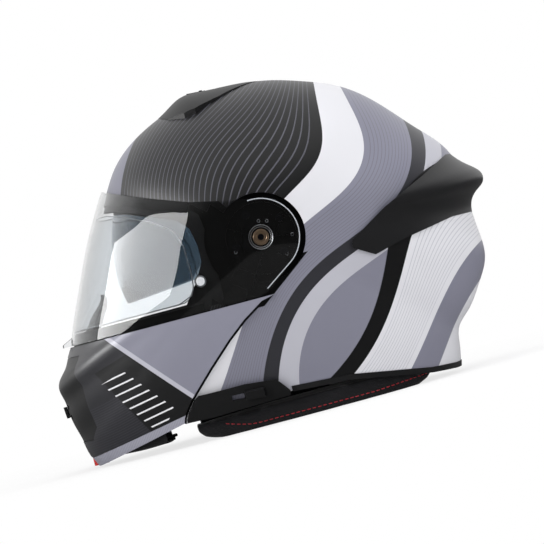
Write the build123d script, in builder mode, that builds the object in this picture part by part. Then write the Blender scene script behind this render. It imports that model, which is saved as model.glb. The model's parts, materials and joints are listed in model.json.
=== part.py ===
from build123d import *

import math
import os

# A modular motorcycle helmet that faces -X, with +Z up and its wearer's left at -Y.
# It rests on the flat z = 0. Lengths are in millimetres.
# Outline points seen from the side are shares of the helmet's length and height.

helmet_length = 367.0
helmet_height = 268.0
pivot_shares = (0.005, 0.529)

shell_half_width = 123.4
shell_wall = 3.5
chin_wall = 3.0
visor_wall = 2.2
moving_gap = 0.5
seat_gap = 0.3
fit_gap = 0.05
overrun = 2.0
roundness = 2.2

hinge_floor_depth = 13.4
hinge_well_radius = 34.4
hinge_fan_radius = 60.0
inner_fan_radius = 46.2
arm_thickness = 3.2
arm_disc_radius = 27.0
arm_half_width = 10.5
plate_thickness = 3.0
plate_radius = 29.0
boss_radius = 9.9
bushing_radius = 6.3
bushing_bore_radius = 2.4
bushing_head_radius = 9.0
bushing_head_height = 1.7
stub_radius = 4.0
washer_radius = 8.3
washer_thickness = 1.0
ear_radius = 30.5
web_radius = 58.5
arm_reach = 44.0
boss_rise = 0.3
bushing_bore_depth = 8.0
bushing_rim_radius = 3.9
bushing_rim_depth = 1.2
sun_pin_end = 0.4
screw_circle_radius = 20.5
screw_head_radius = 3.1
screw_head_height = 1.8
screw_radius = 1.6
screw_socket_radius = 1.4
plate_rim_width = 2.0
plate_rim_height = 2.8
plate_reach = 41.2
lip_width = 2.2
lever_thickness = 2.4
lever_length = 10.0
lever_travel = 2.5

padding_depth = 17.0
liner_gap = 0.3
crown_pad_thickness = 7.0
head_half_width = 82.0

sun_wall = 2.2
sun_radius = 118.4
sun_hub_radius = 9.5
sun_arm_half_width = 9.0
sun_gap = 0.7

striker_radius = 3.0
striker_flange_radius = 6.0
striker_flange_depth = 4.0
latch_near = 89.5
latch_thickness = 3.0
latch_stud_radius = 2.5

strap_width = 22.0
strap_thickness = 1.8

chin_half_width = shell_half_width + moving_gap + chin_wall
visor_half_width = shell_half_width + moving_gap + visor_wall
well_floor = shell_half_width - hinge_floor_depth
floor_inside = well_floor - shell_wall
boss_top = 0.985 * visor_half_width + boss_rise
arm_near = well_floor + seat_gap
arm_far = arm_near + arm_thickness
plate_near = arm_far + fit_gap
plate_far = plate_near + plate_thickness
sun_outer = floor_inside - bushing_head_height - sun_gap
intake_x = -0.050 * helmet_length
intake_spread = 8.0
intake_radius = 3.2
pivot_x = pivot_shares[0] * helmet_length
pivot_z = pivot_shares[1] * helmet_height
hinge = (pivot_x, pivot_z)


def side(shares):
    """Gives side-view points in millimetres."""
    return [(x * helmet_length, z * helmet_height) for x, z in shares]


def inset(points, depth):
    """Moves each point of a closed clockwise outline inward by a depth."""
    moved = []
    for index, (x, z) in enumerate(points):
        before = points[index - 1]
        after = points[(index + 1) % len(points)]
        run = (after[0] - before[0], after[1] - before[1])
        length = math.hypot(*run)
        moved.append((x + depth * run[1] / length, z - depth * run[0] / length))
    return moved


def drawn_in(points, depth):
    """Moves each point of an outline towards the hinge by a depth."""
    moved = []
    for x, z in points:
        reach = math.hypot(x - pivot_x, z - pivot_z)
        keep = (reach - depth) / reach
        moved.append((pivot_x + (x - pivot_x) * keep, pivot_z + (z - pivot_z) * keep))
    return moved


def polar(radius, degrees):
    """Gives a side-view point about the hinge, with the angle from straight ahead upward."""
    angle = math.radians(degrees)
    return (pivot_x - radius * math.cos(angle), pivot_z + radius * math.sin(angle))


station_shares = (0.3, 0.5, 0.65, 0.77, 0.87, 0.94, 0.985)


def lofted_dome(points, half_width):
    """Lofts a dome whose side outline shrinks about the hinge towards either side."""
    sides = [-share for share in reversed(station_shares)] + [0] + list(station_shares)
    with BuildPart() as dome:
        for share in sides:
            keep = (1 - abs(share) ** roundness) ** (1 / roundness)
            shrunk = [(pivot_x + (x - pivot_x) * keep, pivot_z + (z - pivot_z) * keep) for x, z in points]
            with BuildSketch(Plane.XZ.offset(share * half_width)):
                with BuildLine():
                    Spline(*shrunk, periodic=True)
                make_face()
        loft()
    return dome.part


known_forms = {}


def helmet_form(points, half_width):
    """Gives the dome for a side outline, which is lofted the first time and kept."""
    key = (tuple(points), half_width)
    if key not in known_forms:
        known_forms[key] = lofted_dome(points, half_width)
    return known_forms[key]


def side_prism(points, near=None, far=None):
    """Extrudes a side outline right through the helmet, or from near to far on the wearer's left."""
    start = -helmet_length if near is None else near
    stop = helmet_length if far is None else far
    with BuildPart() as prism:
        with BuildSketch(Plane.XZ.offset(start)):
            with BuildLine():
                Polyline(*points, close=True)
            make_face()
        extrude(amount=stop - start)
    return prism.part


def fan(radius, low, high):
    """Gives a sector about the hinge as side-view points."""
    steps = 8
    rim = [polar(radius, low + (high - low) * step / steps) for step in range(steps + 1)]
    return [(pivot_x, pivot_z)] + rim


def skin(points, half_width, outer, inner):
    """Makes the layer between two depths under a form's surface."""
    with BuildPart() as layer:
        add(helmet_form(inset(points, outer), half_width - outer))
        add(helmet_form(inset(points, inner), half_width - inner), mode=Mode.SUBTRACT)
    return layer.part


def side_disc(centre, radius, near, far):
    """Makes a disc across the helmet on the wearer's left."""
    with BuildPart() as disc:
        with BuildSketch(Plane.XZ.offset(near)):
            with Locations(centre):
                Circle(radius)
        extrude(amount=far - near)
    return disc.part


def front_prism(points, back):
    """Extrudes a front outline of (y, z) points forward from x = back, past the helmet's front."""
    with BuildPart() as prism:
        with BuildSketch(Plane.YZ.offset(back)):
            with BuildLine():
                Polyline(*points, close=True)
            make_face()
        extrude(amount=-helmet_length)
    return prism.part


def top_prism(points):
    """Extrudes a top outline of (x, y) points upward from the hinge height."""
    with BuildPart() as prism:
        with BuildSketch(Plane.XY.offset(pivot_z)):
            with BuildLine():
                Polyline(*points, close=True)
            make_face()
        extrude(amount=helmet_height)
    return prism.part


def skin_plane(form, start, direction):
    """Gives the plane that touches a form where a line from start leaves it, with x rearward."""
    point, normal = form.shells()[0].find_intersection_points(Axis(start, direction))[-1]
    if normal.dot(Vector(*direction)) < 0:
        normal = normal * -1
    rearward = Vector(1, 0, 0) - normal * normal.X
    return Plane(origin=point, x_dir=rearward, z_dir=normal)


def save(part, name):
    part.label = name
    export_step(part, f"parts/{name}.step")


os.makedirs("parts", exist_ok=True)

# Side outlines of the three outer forms, clockwise from the brow over the crown.

shell_shares = [
    (-0.292, 0.771), (-0.264, 0.831), (-0.216, 0.892), (-0.158, 0.936), (-0.083, 0.971),
    (0.005, 0.982), (0.094, 0.975), (0.173, 0.945), (0.253, 0.899), (0.326, 0.817),
    (0.386, 0.726), (0.440, 0.636), (0.456, 0.552), (0.456, 0.470), (0.460, 0.387),
    (0.459, 0.306), (0.429, 0.230), (0.398, 0.172), (0.365, 0.123), (0.358, 0.078),
    (0.350, 0.022), (0.324, -0.082), (0.251, -0.224), (0.123, -0.313), (0.005, -0.328),
    (-0.146, -0.296), (-0.264, -0.224), (-0.366, -0.121), (-0.452, 0.040), (-0.436, 0.224),
    (-0.387, 0.392), (-0.351, 0.541), (-0.330, 0.672),
]
chin_shares = [
    (-0.446, 0.373), (-0.422, 0.466), (-0.381, 0.616), (-0.300, 0.802), (-0.163, 0.940),
    (0.000, 0.978), (0.163, 0.914), (0.313, 0.746), (0.387, 0.485), (0.381, 0.149),
    (0.300, -0.131), (0.163, -0.306), (0.005, -0.343), (-0.148, -0.310), (-0.271, -0.235),
    (-0.373, -0.132), (-0.463, 0.019), (-0.473, 0.056), (-0.478, 0.093), (-0.486, 0.134),
    (-0.491, 0.175), (-0.494, 0.216), (-0.499, 0.254), (-0.495, 0.272), (-0.475, 0.306),
    (-0.459, 0.345),
]
visor_shares = [
    (-0.303, 0.779), (-0.240, 0.884), (-0.168, 0.995), (0.000, 1.080), (0.150, 1.010),
    (0.272, 0.850), (0.365, 0.600), (0.387, 0.336), (0.341, 0.075), (0.218, -0.149),
    (0.027, -0.261), (-0.163, -0.280), (-0.354, -0.168), (-0.458, 0.000), (-0.480, 0.149),
    (-0.469, 0.280), (-0.451, 0.366), (-0.430, 0.438), (-0.394, 0.547), (-0.357, 0.653),
    (-0.327, 0.726),
]
shell_points = side(shell_shares)
chin_points = side(chin_shares)
visor_points = side(visor_shares)

shell_form = helmet_form(shell_points, shell_half_width)
shell_hollow = helmet_form(inset(shell_points, shell_wall), shell_half_width - shell_wall)
chin_form = helmet_form(chin_points, chin_half_width)
chin_hollow = helmet_form(inset(chin_points, chin_wall), chin_half_width - chin_wall)
visor_form = helmet_form(visor_points, visor_half_width)
visor_hollow = helmet_form(inset(visor_points, visor_wall), visor_half_width - visor_wall)

# The shell with its eye port, its lower edge and a well on each side for the chin bar's hinge.

shell_opening_shares = [
    (-0.900, 0.735), (-0.294, 0.735), (-0.245, 0.709), (-0.196, 0.681), (-0.142, 0.657),
    (-0.125, 0.627), (-0.117, 0.560), (-0.117, 0.448), (-0.120, 0.418), (-0.136, 0.362),
    (-0.150, 0.300), (-0.180, 0.219), (-0.215, 0.172), (-0.240, 0.140), (-0.259, 0.090),
    (-0.259, 0.072), (-0.249, 0.065), (-0.016, 0.082), (0.047, 0.077), (0.113, 0.071),
    (0.219, 0.044), (0.283, 0.027), (0.339, 0.019), (0.900, 0.019), (0.900, -0.900),
    (-0.900, -0.900),
]
fan_low = -64.0
fan_high = 40.0
inner_fan_high = 48.0
inner_fan_low = -70.0


def well_shape(grow, near):
    """Makes the swept space of a hinge arm, from near outward, grown by a margin."""
    with BuildPart() as well:
        add(side_disc(hinge, hinge_well_radius + grow, near, helmet_length))
        add(side_prism(fan(hinge_fan_radius + grow, fan_low - grow, fan_high + grow), near, helmet_length))
        inner_fan = fan(inner_fan_radius + grow, inner_fan_low - grow, inner_fan_high + grow)
        add(side_prism(inner_fan, near, helmet_length))
    return well.part


well_cut = well_shape(0, well_floor)
tub_cut = well_shape(shell_wall, well_floor - shell_wall)
with BuildPart() as tub:
    add(tub_cut)
    add(shell_form, mode=Mode.INTERSECT)

with BuildPart() as shell:
    add(shell_form)
    add(shell_hollow, mode=Mode.SUBTRACT)
    add(tub.part)
    add(mirror(tub.part, about=Plane.XZ))
    add(well_cut, mode=Mode.SUBTRACT)
    add(mirror(well_cut, about=Plane.XZ), mode=Mode.SUBTRACT)
    add(side_prism(side(shell_opening_shares)), mode=Mode.SUBTRACT)
    for near in (-well_floor - overrun, floor_inside - overrun):
        add(side_disc(hinge, bushing_radius, near, near + shell_wall + 2 * overrun), mode=Mode.SUBTRACT)
    with BuildSketch(Plane.XY.offset(pivot_z)):
        with Locations((intake_x, intake_spread), (intake_x, -intake_spread)):
            Circle(intake_radius)
    extrude(amount=helmet_height, mode=Mode.SUBTRACT)
save(shell.part, "shell")

# The chin bar: a band outside, a seat for the visor inside its top edge, and two arms to the hinge.

seam_shares = [
    (-0.028, 0.352), (-0.073, 0.314), (-0.116, 0.268), (-0.169, 0.202), (-0.205, 0.154),
    (-0.226, 0.126), (-0.243, 0.095), (-0.248, 0.082), (-0.251, 0.068),
]
chin_lower_shares = [(-0.450, 0.006), (-0.470, 0.004), (-0.900, 0.004)]
chin_top = 0.362 * helmet_height
seat_top = 0.388 * helmet_height
seat_rear = -0.146 * helmet_length
seat_thickness = 2.4
shelf_thickness = 3.0
arm_angle = -52.0
web_low = -61.0
web_high = -44.0
latch_pivot_shares = (-0.294, 0.172)
latch_pivot = side([latch_pivot_shares])[0]


def spoke(angle, half_width, reach):
    """Gives a straight bar's side-view corners, from the hinge axis outward."""
    turn = math.radians(angle)
    along = (-math.cos(turn), math.sin(turn))
    across = (along[1] * half_width, -along[0] * half_width)
    tip = (pivot_x + reach * along[0], pivot_z + reach * along[1])
    return [
        (pivot_x + across[0], pivot_z + across[1]),
        (tip[0] + across[0], tip[1] + across[1]),
        (tip[0] - across[0], tip[1] - across[1]),
        (pivot_x - across[0], pivot_z - across[1]),
    ]


chin_outline = (
    [(-helmet_length, seat_top), (seat_rear, seat_top), (seat_rear, chin_top)]
    + [(0.004 * helmet_length, chin_top)]
    + side(seam_shares)
    + side(chin_lower_shares)
)
above_chin = [
    (-helmet_length, chin_top), (helmet_length, chin_top),
    (helmet_length, 2 * helmet_height), (-helmet_length, 2 * helmet_height),
]
below_shelf = [
    (-helmet_length, chin_top - shelf_thickness), (seat_rear, chin_top - shelf_thickness),
    (seat_rear, helmet_height), (helmet_length, helmet_height),
    (helmet_length, -helmet_height), (-helmet_length, -helmet_height),
]
seat_form = helmet_form(inset(visor_points, visor_wall + moving_gap), shell_half_width)
seat_hollow = helmet_form(
    inset(visor_points, visor_wall + moving_gap + seat_thickness),
    shell_half_width - seat_thickness,
)
with BuildPart() as chin_shape:
    add(chin_form)
    add(side_prism(above_chin), mode=Mode.SUBTRACT)
    add(seat_form)
with BuildPart() as chin_inside:
    add(chin_hollow)
    add(side_prism(below_shelf), mode=Mode.INTERSECT)
screw_angles = (-8.0, 70.0, 148.0, 226.0)
screw_places = [polar(screw_circle_radius, angle) for angle in screw_angles]
web_rim = [polar(web_radius, web_low + (web_high - web_low) * step / 4) for step in range(5)]
web_root = [polar(arm_reach - overrun, web_high), polar(arm_reach - overrun, web_low)]
with BuildPart() as chin_web:
    add(side_prism(web_rim + web_root, arm_near, helmet_length))
    add(chin_shape.part, mode=Mode.INTERSECT)
with BuildPart() as chin_arm:
    add(side_disc(hinge, arm_disc_radius, arm_near, arm_far))
    add(side_prism(spoke(arm_angle, arm_half_width, arm_reach), arm_near, arm_far))
    add(chin_web.part)
    add(side_disc(hinge, bushing_radius + fit_gap, arm_near, arm_far), mode=Mode.SUBTRACT)
    for place in screw_places:
        add(side_disc(place, screw_radius + fit_gap, arm_near, arm_far), mode=Mode.SUBTRACT)
with BuildPart() as latch_stud:
    stud_near = latch_near - seat_gap - latch_thickness / 3
    add(side_disc(latch_pivot, latch_stud_radius, stud_near, chin_half_width))
    add(helmet_form(inset(chin_points, chin_wall / 2), chin_half_width - chin_wall / 2), mode=Mode.INTERSECT)
front_depth = -0.330 * helmet_length
window_shares = [(0.44, 0.335), (0.50, 0.250), (0.46, 0.120), (0.36, 0.085)]
button_half_width = 15.0
button_bottom = 0.008 * helmet_height
button_top = 0.034 * helmet_height
notch_rear = -0.425 * helmet_length


def both_sides(shares):
    """Gives a symmetric front outline from one side's shares of half width and height."""
    one = [(y * chin_half_width, z * helmet_height) for y, z in shares]
    return one + [(-y, z) for y, z in reversed(one)]


def centred(half_width, low, high):
    """Gives a rectangle about the middle plane as front points."""
    return [(half_width, low), (half_width, high), (-half_width, high), (-half_width, low)]


def grown(points, amount):
    """Moves a closed front outline's points outward from its middle by an amount."""
    middle = sum(z for y, z in points) / len(points)
    moved = []
    for y, z in points:
        moved.append((y + amount * math.copysign(1, y), z + amount * math.copysign(1, z - middle)))
    return moved


vent_window = both_sides(window_shares)
button_notch = centred(button_half_width + seat_gap, -helmet_height, button_top + seat_gap)
with BuildPart() as chin_bar:
    add(chin_shape.part)
    add(chin_inside.part, mode=Mode.SUBTRACT)
    add(seat_hollow, mode=Mode.SUBTRACT)
    add(side_prism(chin_outline), mode=Mode.INTERSECT)
    add(front_prism(vent_window, front_depth), mode=Mode.SUBTRACT)
    add(front_prism(button_notch, notch_rear), mode=Mode.SUBTRACT)
    for piece in (chin_arm.part, latch_stud.part):
        add(piece)
        add(mirror(piece, about=Plane.XZ))
save(chin_bar.part, "chin_bar")

# The visor, clear over its whole side view, with an ear round each boss.

visor_bottom = 0.3655 * helmet_height
visor_top_shares = [
    (-0.900, 1.150), (-0.303, 0.781), (-0.255, 0.751), (-0.205, 0.722), (-0.124, 0.680),
    (-0.061, 0.660),
]
ear_start = 90.0
ear_sweep = 145.0
ear_rim = [polar(ear_radius, ear_start + ear_sweep * step / 16) for step in range(17)]
visor_outline = (
    side(visor_top_shares)
    + ear_rim
    + [(-0.006 * helmet_length, 0.376 * helmet_height), (-0.027 * helmet_length, visor_bottom)]
    + [(-helmet_length, visor_bottom)]
)
tab_half_width = 14.0
tab_shares = [(-0.4415, 0.390), (-0.466, 0.374), (-0.467, 0.3655), (-0.4465, 0.3655)]
insert_pin_shares = (-0.141, 0.4515)
insert_pin_radius = 3.4
insert_pin = side([insert_pin_shares])[0]
with BuildPart() as visor:
    add(visor_form)
    add(visor_hollow, mode=Mode.SUBTRACT)
    add(side_prism(visor_outline), mode=Mode.INTERSECT)
    for near in (-helmet_length, 0):
        add(side_disc(hinge, boss_radius + fit_gap, near, near + helmet_length), mode=Mode.SUBTRACT)
        add(side_disc(insert_pin, insert_pin_radius, near, near + helmet_length), mode=Mode.SUBTRACT)
    add(side_prism(side(tab_shares), -tab_half_width, tab_half_width))
save(visor.part, "visor")

# The anti-fog insert inside the visor, with a headed pin at each end that holds it.

insert_shares = [
    (-0.470, 0.402), (-0.196, 0.402), (-0.165, 0.418), (-0.157, 0.440), (-0.154, 0.470),
    (-0.155, 0.560), (-0.168, 0.612), (-0.207, 0.650), (-0.251, 0.680), (-0.300, 0.705),
    (-0.470, 0.705),
]
insert_gap = 0.2
insert_thickness = 0.8
insert_head_radius = 4.6
insert_head_thickness = 1.2
with BuildPart() as anti_fog_insert:
    insert_depth = visor_wall + insert_gap
    add(skin(visor_points, visor_half_width, insert_depth, insert_depth + insert_thickness))
    add(side_prism(side(insert_shares)), mode=Mode.INTERSECT)
save(anti_fog_insert.part, "anti_fog_insert")

with BuildPart() as insert_pin_left:
    add(side_disc(insert_pin, insert_pin_radius, 0, helmet_length))
    add(skin(visor_points, visor_half_width, 0, visor_wall + fit_gap), mode=Mode.INTERSECT)
with BuildPart() as insert_head_left:
    add(side_disc(insert_pin, insert_head_radius, 0, helmet_length))
    head_layer = skin(visor_points, visor_half_width, visor_wall, visor_wall + insert_head_thickness)
    add(head_layer, mode=Mode.INTERSECT)
with BuildPart() as insert_pins:
    add(insert_pin_left.part)
    add(insert_head_left.part)
    mirror(about=Plane.XZ)
save(insert_pins.part, "insert_pins")

# On each side a brass bushing carries the chin bar, a plate on the arm carries the visor's boss,
# and a lever on the plate's tail lets the visor off.

with BuildPart() as pivot_bushing:
    add(side_disc(hinge, stub_radius, sun_outer - sun_wall - sun_pin_end, floor_inside - bushing_head_height))
    add(side_disc(hinge, bushing_head_radius, floor_inside - bushing_head_height, floor_inside))
    add(side_disc(hinge, bushing_radius, floor_inside, boss_top))
    add(side_disc(hinge, bushing_bore_radius, boss_top - bushing_bore_depth, boss_top), mode=Mode.SUBTRACT)
    add(side_disc(hinge, bushing_rim_radius, boss_top - bushing_rim_depth, boss_top), mode=Mode.SUBTRACT)

with BuildPart() as pivot_washer:
    add(side_disc(hinge, washer_radius, boss_top - 2 * washer_thickness, boss_top - washer_thickness))
    add(side_disc(hinge, bushing_radius, 0, boss_top), mode=Mode.SUBTRACT)

plate_rim_far = plate_far + plate_rim_height
lever_inner = plate_reach - lever_length
rib_angles = (31.0, 109.0, 187.0)
rib_half_width = 0.8
tail_clear_angle = 27.0
with BuildPart() as plate_rim:
    add(side_disc(hinge, plate_radius, plate_near, plate_rim_far))
    add(side_disc(hinge, plate_radius - plate_rim_width, plate_near, plate_rim_far), mode=Mode.SUBTRACT)
    tail_gap = fan(plate_radius + overrun, arm_angle - tail_clear_angle, arm_angle + tail_clear_angle)
    add(side_prism(tail_gap, plate_near, plate_rim_far), mode=Mode.SUBTRACT)
with BuildPart() as plate_lips:
    add(side_prism(spoke(arm_angle, arm_half_width, plate_reach), plate_near, plate_far + lever_thickness))
    slot = spoke(arm_angle, arm_half_width - lip_width, plate_reach + overrun)
    add(side_prism(slot, plate_near, boss_top), mode=Mode.SUBTRACT)
    add(side_disc(hinge, lever_inner - lever_travel, plate_near, boss_top), mode=Mode.SUBTRACT)
with BuildPart() as mechanism_plate:
    add(side_disc(hinge, plate_radius, plate_near, plate_far))
    add(side_prism(spoke(arm_angle, arm_half_width, plate_reach), plate_near, plate_far))
    add(side_disc(hinge, boss_radius, plate_near, boss_top))
    for angle in rib_angles:
        rib = spoke(angle, rib_half_width, plate_radius - plate_rim_width)
        add(side_prism(rib, plate_near, plate_rim_far))
    add(plate_rim.part)
    add(plate_lips.part)
    add(side_disc(hinge, bushing_radius + fit_gap, 0, boss_top), mode=Mode.SUBTRACT)
    washer_floor = boss_top - 2 * washer_thickness - fit_gap
    add(side_disc(hinge, washer_radius + fit_gap, washer_floor, boss_top), mode=Mode.SUBTRACT)
    for place in screw_places:
        add(side_disc(place, screw_radius + fit_gap, plate_near, plate_far), mode=Mode.SUBTRACT)

with BuildPart() as plate_screws:
    for place in screw_places:
        add(side_disc(place, screw_radius, arm_near + seat_gap, plate_far))
        add(side_disc(place, screw_head_radius, plate_far, plate_far + screw_head_height))
        add(side_disc(place, screw_socket_radius, plate_far + seat_gap, boss_top), mode=Mode.SUBTRACT)

lever_half_width = arm_half_width - lip_width - seat_gap
ridge_pitch = 2.4
ridge_height = 0.7
with BuildPart() as visor_release:
    lever_near = plate_far + fit_gap
    lever_bar = spoke(arm_angle, lever_half_width, plate_reach)
    add(side_prism(lever_bar, lever_near, lever_near + lever_thickness))
    for step in range(3):
        reach = plate_reach - ridge_pitch / 2 - step * ridge_pitch
        ridge_far = lever_near + lever_thickness + ridge_height
        add(side_prism(spoke(arm_angle, lever_half_width, reach), lever_near, ridge_far))
        next_spoke = spoke(arm_angle, lever_half_width, reach - ridge_pitch / 2)
        add(side_prism(next_spoke, lever_near + lever_thickness, boss_top), mode=Mode.SUBTRACT)
    add(side_disc(hinge, lever_inner, 0, boss_top), mode=Mode.SUBTRACT)

for side_name, flip in (("left", False), ("right", True)):
    for piece, name in (
        (pivot_bushing.part, "pivot_bushing"),
        (pivot_washer.part, "pivot_washer"),
        (mechanism_plate.part, "mechanism_plate"),
        (plate_screws.part, "plate_screws"),
        (visor_release.part, "visor_release"),
    ):
        save(mirror(piece, about=Plane.XZ) if flip else piece, f"{name}_{side_name}")

# The sun visor swings on the bushings' inner ends, between the shell and the impact liner.
# It is drawn down in front of the eyes, and swings up out of sight.

circle_shares = [(math.cos(math.tau * step / 16), math.sin(math.tau * step / 16)) for step in range(16)]


def swing_form(radius, half_width):
    """Makes a dome that is round about the hinge axis in side view."""
    return helmet_form([(pivot_x + radius * x, pivot_z - radius * z) for x, z in circle_shares], half_width)


sun_low = -11.0
sun_high = 32.0
sun_arm_angle = 12.0
sun_inner_reach = 62.0
sun_swing = 46.0
sun_rim = fan(sun_radius + overrun, sun_low, sun_high)[1:] + fan(sun_inner_reach, sun_low, sun_high)[:0:-1]
cap_share = station_shares[-1]
with BuildPart() as sun_region:
    add(side_prism(sun_rim))
    add(side_prism(spoke(sun_arm_angle, sun_arm_half_width, sun_inner_reach + sun_arm_half_width)))
    add(side_disc(hinge, sun_hub_radius, -helmet_length, helmet_length))
with BuildPart() as sun_visor:
    add(swing_form(sun_radius, sun_outer / cap_share))
    add(swing_form(sun_radius - sun_wall, (sun_outer - sun_wall) / cap_share), mode=Mode.SUBTRACT)
    add(sun_region.part, mode=Mode.INTERSECT)
    add(side_disc(hinge, stub_radius + fit_gap, -helmet_length, helmet_length), mode=Mode.SUBTRACT)
save(sun_visor.part, "sun_visor")

# The impact liner between the shell and the head, cut back for the wells and the sun visor.

cavity_shares = [
    (-0.234, 0.709), (-0.202, 0.791), (-0.123, 0.854), (0.000, 0.877), (0.123, 0.854),
    (0.232, 0.765), (0.281, 0.616), (0.270, 0.448), (0.234, 0.299), (0.218, 0.149),
    (0.229, 0.000), (0.191, -0.224), (0.000, -0.328), (-0.163, -0.261), (-0.234, 0.000),
    (-0.251, 0.224), (-0.253, 0.448), (-0.248, 0.597),
]
liner_region_shares = [
    (-0.900, 0.750), (-0.285, 0.750), (-0.238, 0.722), (-0.190, 0.694), (-0.135, 0.668),
    (-0.112, 0.635), (-0.104, 0.560), (-0.104, 0.370), (0.063, 0.370), (0.065, 0.252),
    (0.136, 0.252), (0.139, 0.120), (0.900, 0.100), (0.900, 2.000), (-0.900, 2.000),
]
pocket_margin = 1.4
pocket_margin_angle = 3.0
pocket_hub_radius = 24.0
cavity_points = side(cavity_shares)
cavity_form = helmet_form(cavity_points, head_half_width)
with BuildPart() as sun_pocket:
    pocket_low = sun_low - pocket_margin_angle
    pocket_high = sun_high + sun_swing + pocket_margin_angle
    add(side_prism(fan(helmet_length, pocket_low, pocket_high)))
    add(side_disc(hinge, pocket_hub_radius, -helmet_length, helmet_length))
    inner_half_width = (sun_outer - sun_wall - pocket_margin / 2) / cap_share
    add(swing_form(sun_radius - sun_wall - pocket_margin, inner_half_width), mode=Mode.SUBTRACT)
liner_well = well_shape(shell_wall + liner_gap, floor_inside - liner_gap)
liner_inset = shell_wall + liner_gap
liner_form = helmet_form(inset(shell_points, liner_inset), shell_half_width - liner_inset)
with BuildPart() as impact_liner:
    add(liner_form)
    add(side_prism(side(liner_region_shares)), mode=Mode.INTERSECT)
    add(cavity_form, mode=Mode.SUBTRACT)
    add(sun_pocket.part, mode=Mode.SUBTRACT)
    add(liner_well, mode=Mode.SUBTRACT)
    add(mirror(liner_well, about=Plane.XZ), mode=Mode.SUBTRACT)
save(impact_liner.part, "impact_liner")

crown_region_shares = [(-0.260, 0.715), (0.120, 0.560), (0.300, 0.560), (0.300, 1.000), (-0.260, 1.000)]
crown_slot_half_width = 9.0
crown_slot_length = 46.0
crown_slot_spread = 27.0
with BuildPart() as crown_pad:
    add(skin(cavity_points, head_half_width, liner_gap, liner_gap + crown_pad_thickness))
    add(side_prism(side(crown_region_shares)), mode=Mode.INTERSECT)
    with BuildSketch(Plane.XY.offset(pivot_z)):
        with GridLocations(crown_slot_length + crown_slot_spread, 2 * crown_slot_spread, 2, 2):
            SlotOverall(crown_slot_length, 2 * crown_slot_half_width)
    extrude(amount=helmet_height, mode=Mode.SUBTRACT)
save(crown_pad.part, "crown_pad")

# A cheek pad on each side: a pillow that fills out to the shell.

cheek_shares = [
    (-0.178, 0.085), (-0.181, 0.224), (-0.158, 0.328), (-0.109, 0.357), (0.000, 0.354),
    (0.049, 0.328), (0.055, 0.187), (0.049, 0.125), (0.000, 0.090), (-0.109, 0.072),
]
cheek_centre_shares = (-0.063, 0.212)
cheek_inner = 57.0
cheek_depth = 64.0
cheek_section_shares = ((0.0, 0.80), (0.047, 0.92), (0.14, 0.99), (0.31, 1.0), (1.0, 1.0))
with BuildPart() as cheek_pillow:
    centre_x = cheek_centre_shares[0] * helmet_length
    centre_z = cheek_centre_shares[1] * helmet_height
    for depth, grow in cheek_section_shares:
        ring = []
        for x, z in side(cheek_shares):
            ring.append((centre_x + (x - centre_x) * grow, centre_z + (z - centre_z) * grow))
        with BuildSketch(Plane.XZ.offset(cheek_inner + depth * cheek_depth)):
            with BuildLine():
                Spline(*ring, periodic=True)
            make_face()
    loft()
with BuildPart() as cheek_pad_left:
    add(cheek_pillow.part)
    add(liner_form, mode=Mode.INTERSECT)
    add(liner_well, mode=Mode.SUBTRACT)
save(cheek_pad_left.part, "cheek_pad_left")
save(mirror(cheek_pad_left.part, about=Plane.XZ), "cheek_pad_right")

# The neck roll hangs under the shell's edge, open in front, and is what the helmet rests on.

roll_depth = 5.0
roll_width = 18.0
roll_shares = [
    (-0.234, 0.061), (-0.234, 0.038), (-0.221, 0.015), (-0.195, 0.000), (0.254, 0.000),
    (0.276, 0.017), (0.292, 0.044), (0.310, 0.061),
]
with BuildPart() as neck_roll:
    add(skin(shell_points, shell_half_width, roll_depth, roll_depth + roll_width))
    add(side_prism(side(roll_shares)), mode=Mode.INTERSECT)
save(neck_roll.part, "neck_roll")

# The rubber trim on the shell's rear edge and the housings on its side edges clip over the rim.

clip_gap = 0.12
trim_proud = 0.9
trim_up = 3.2
trim_down = 1.2
clip_form = helmet_form(inset(shell_points, -clip_gap), shell_half_width + clip_gap)
rim_shares = [
    (-0.014, 0.082), (0.047, 0.077), (0.113, 0.071), (0.219, 0.044), (0.283, 0.027),
    (0.339, 0.019), (0.400, 0.019),
]


def raised(points, rise):
    """Moves side-view points up."""
    return [(x, z + rise) for x, z in points]


with BuildPart() as rim_band:
    add(skin(shell_points, shell_half_width, -clip_gap, shell_wall + clip_gap))
    above_rim = [
        (helmet_length, helmet_height), (-helmet_length, helmet_height), (-helmet_length, 0),
        (-0.249 * helmet_length, 0.064 * helmet_height),
    ]
    add(side_prism(raised(side(rim_shares), -clip_gap) + above_rim), mode=Mode.INTERSECT)
with BuildPart() as shell_edge_trim:
    add(skin(shell_points, shell_half_width, -trim_proud, shell_wall + trim_proud))
    trim_area = raised(side(rim_shares), trim_up) + raised(side(rim_shares), -trim_down)[::-1]
    add(side_prism(trim_area), mode=Mode.INTERSECT)
    add(rim_band.part, mode=Mode.SUBTRACT)
save(shell_edge_trim.part, "shell_edge_trim")

housing_shares = [
    (-0.245, 0.066), (-0.243, 0.078), (-0.237, 0.094), (-0.219, 0.126), (-0.208, 0.135),
    (-0.164, 0.134), (-0.108, 0.134), (-0.041, 0.125), (-0.018, 0.084), (-0.020, 0.070),
    (-0.190, 0.064),
]
housing_proud = 5.0
housing_face = 2.0
with BuildPart() as side_housing:
    add(skin(shell_points, shell_half_width, -housing_proud, shell_wall))
    add(side_prism(side(housing_shares), 0, helmet_length), mode=Mode.INTERSECT)
    add(rim_band.part, mode=Mode.SUBTRACT)
save(mirror(side_housing.part, about=Plane.XZ), "side_trim_right")

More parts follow.
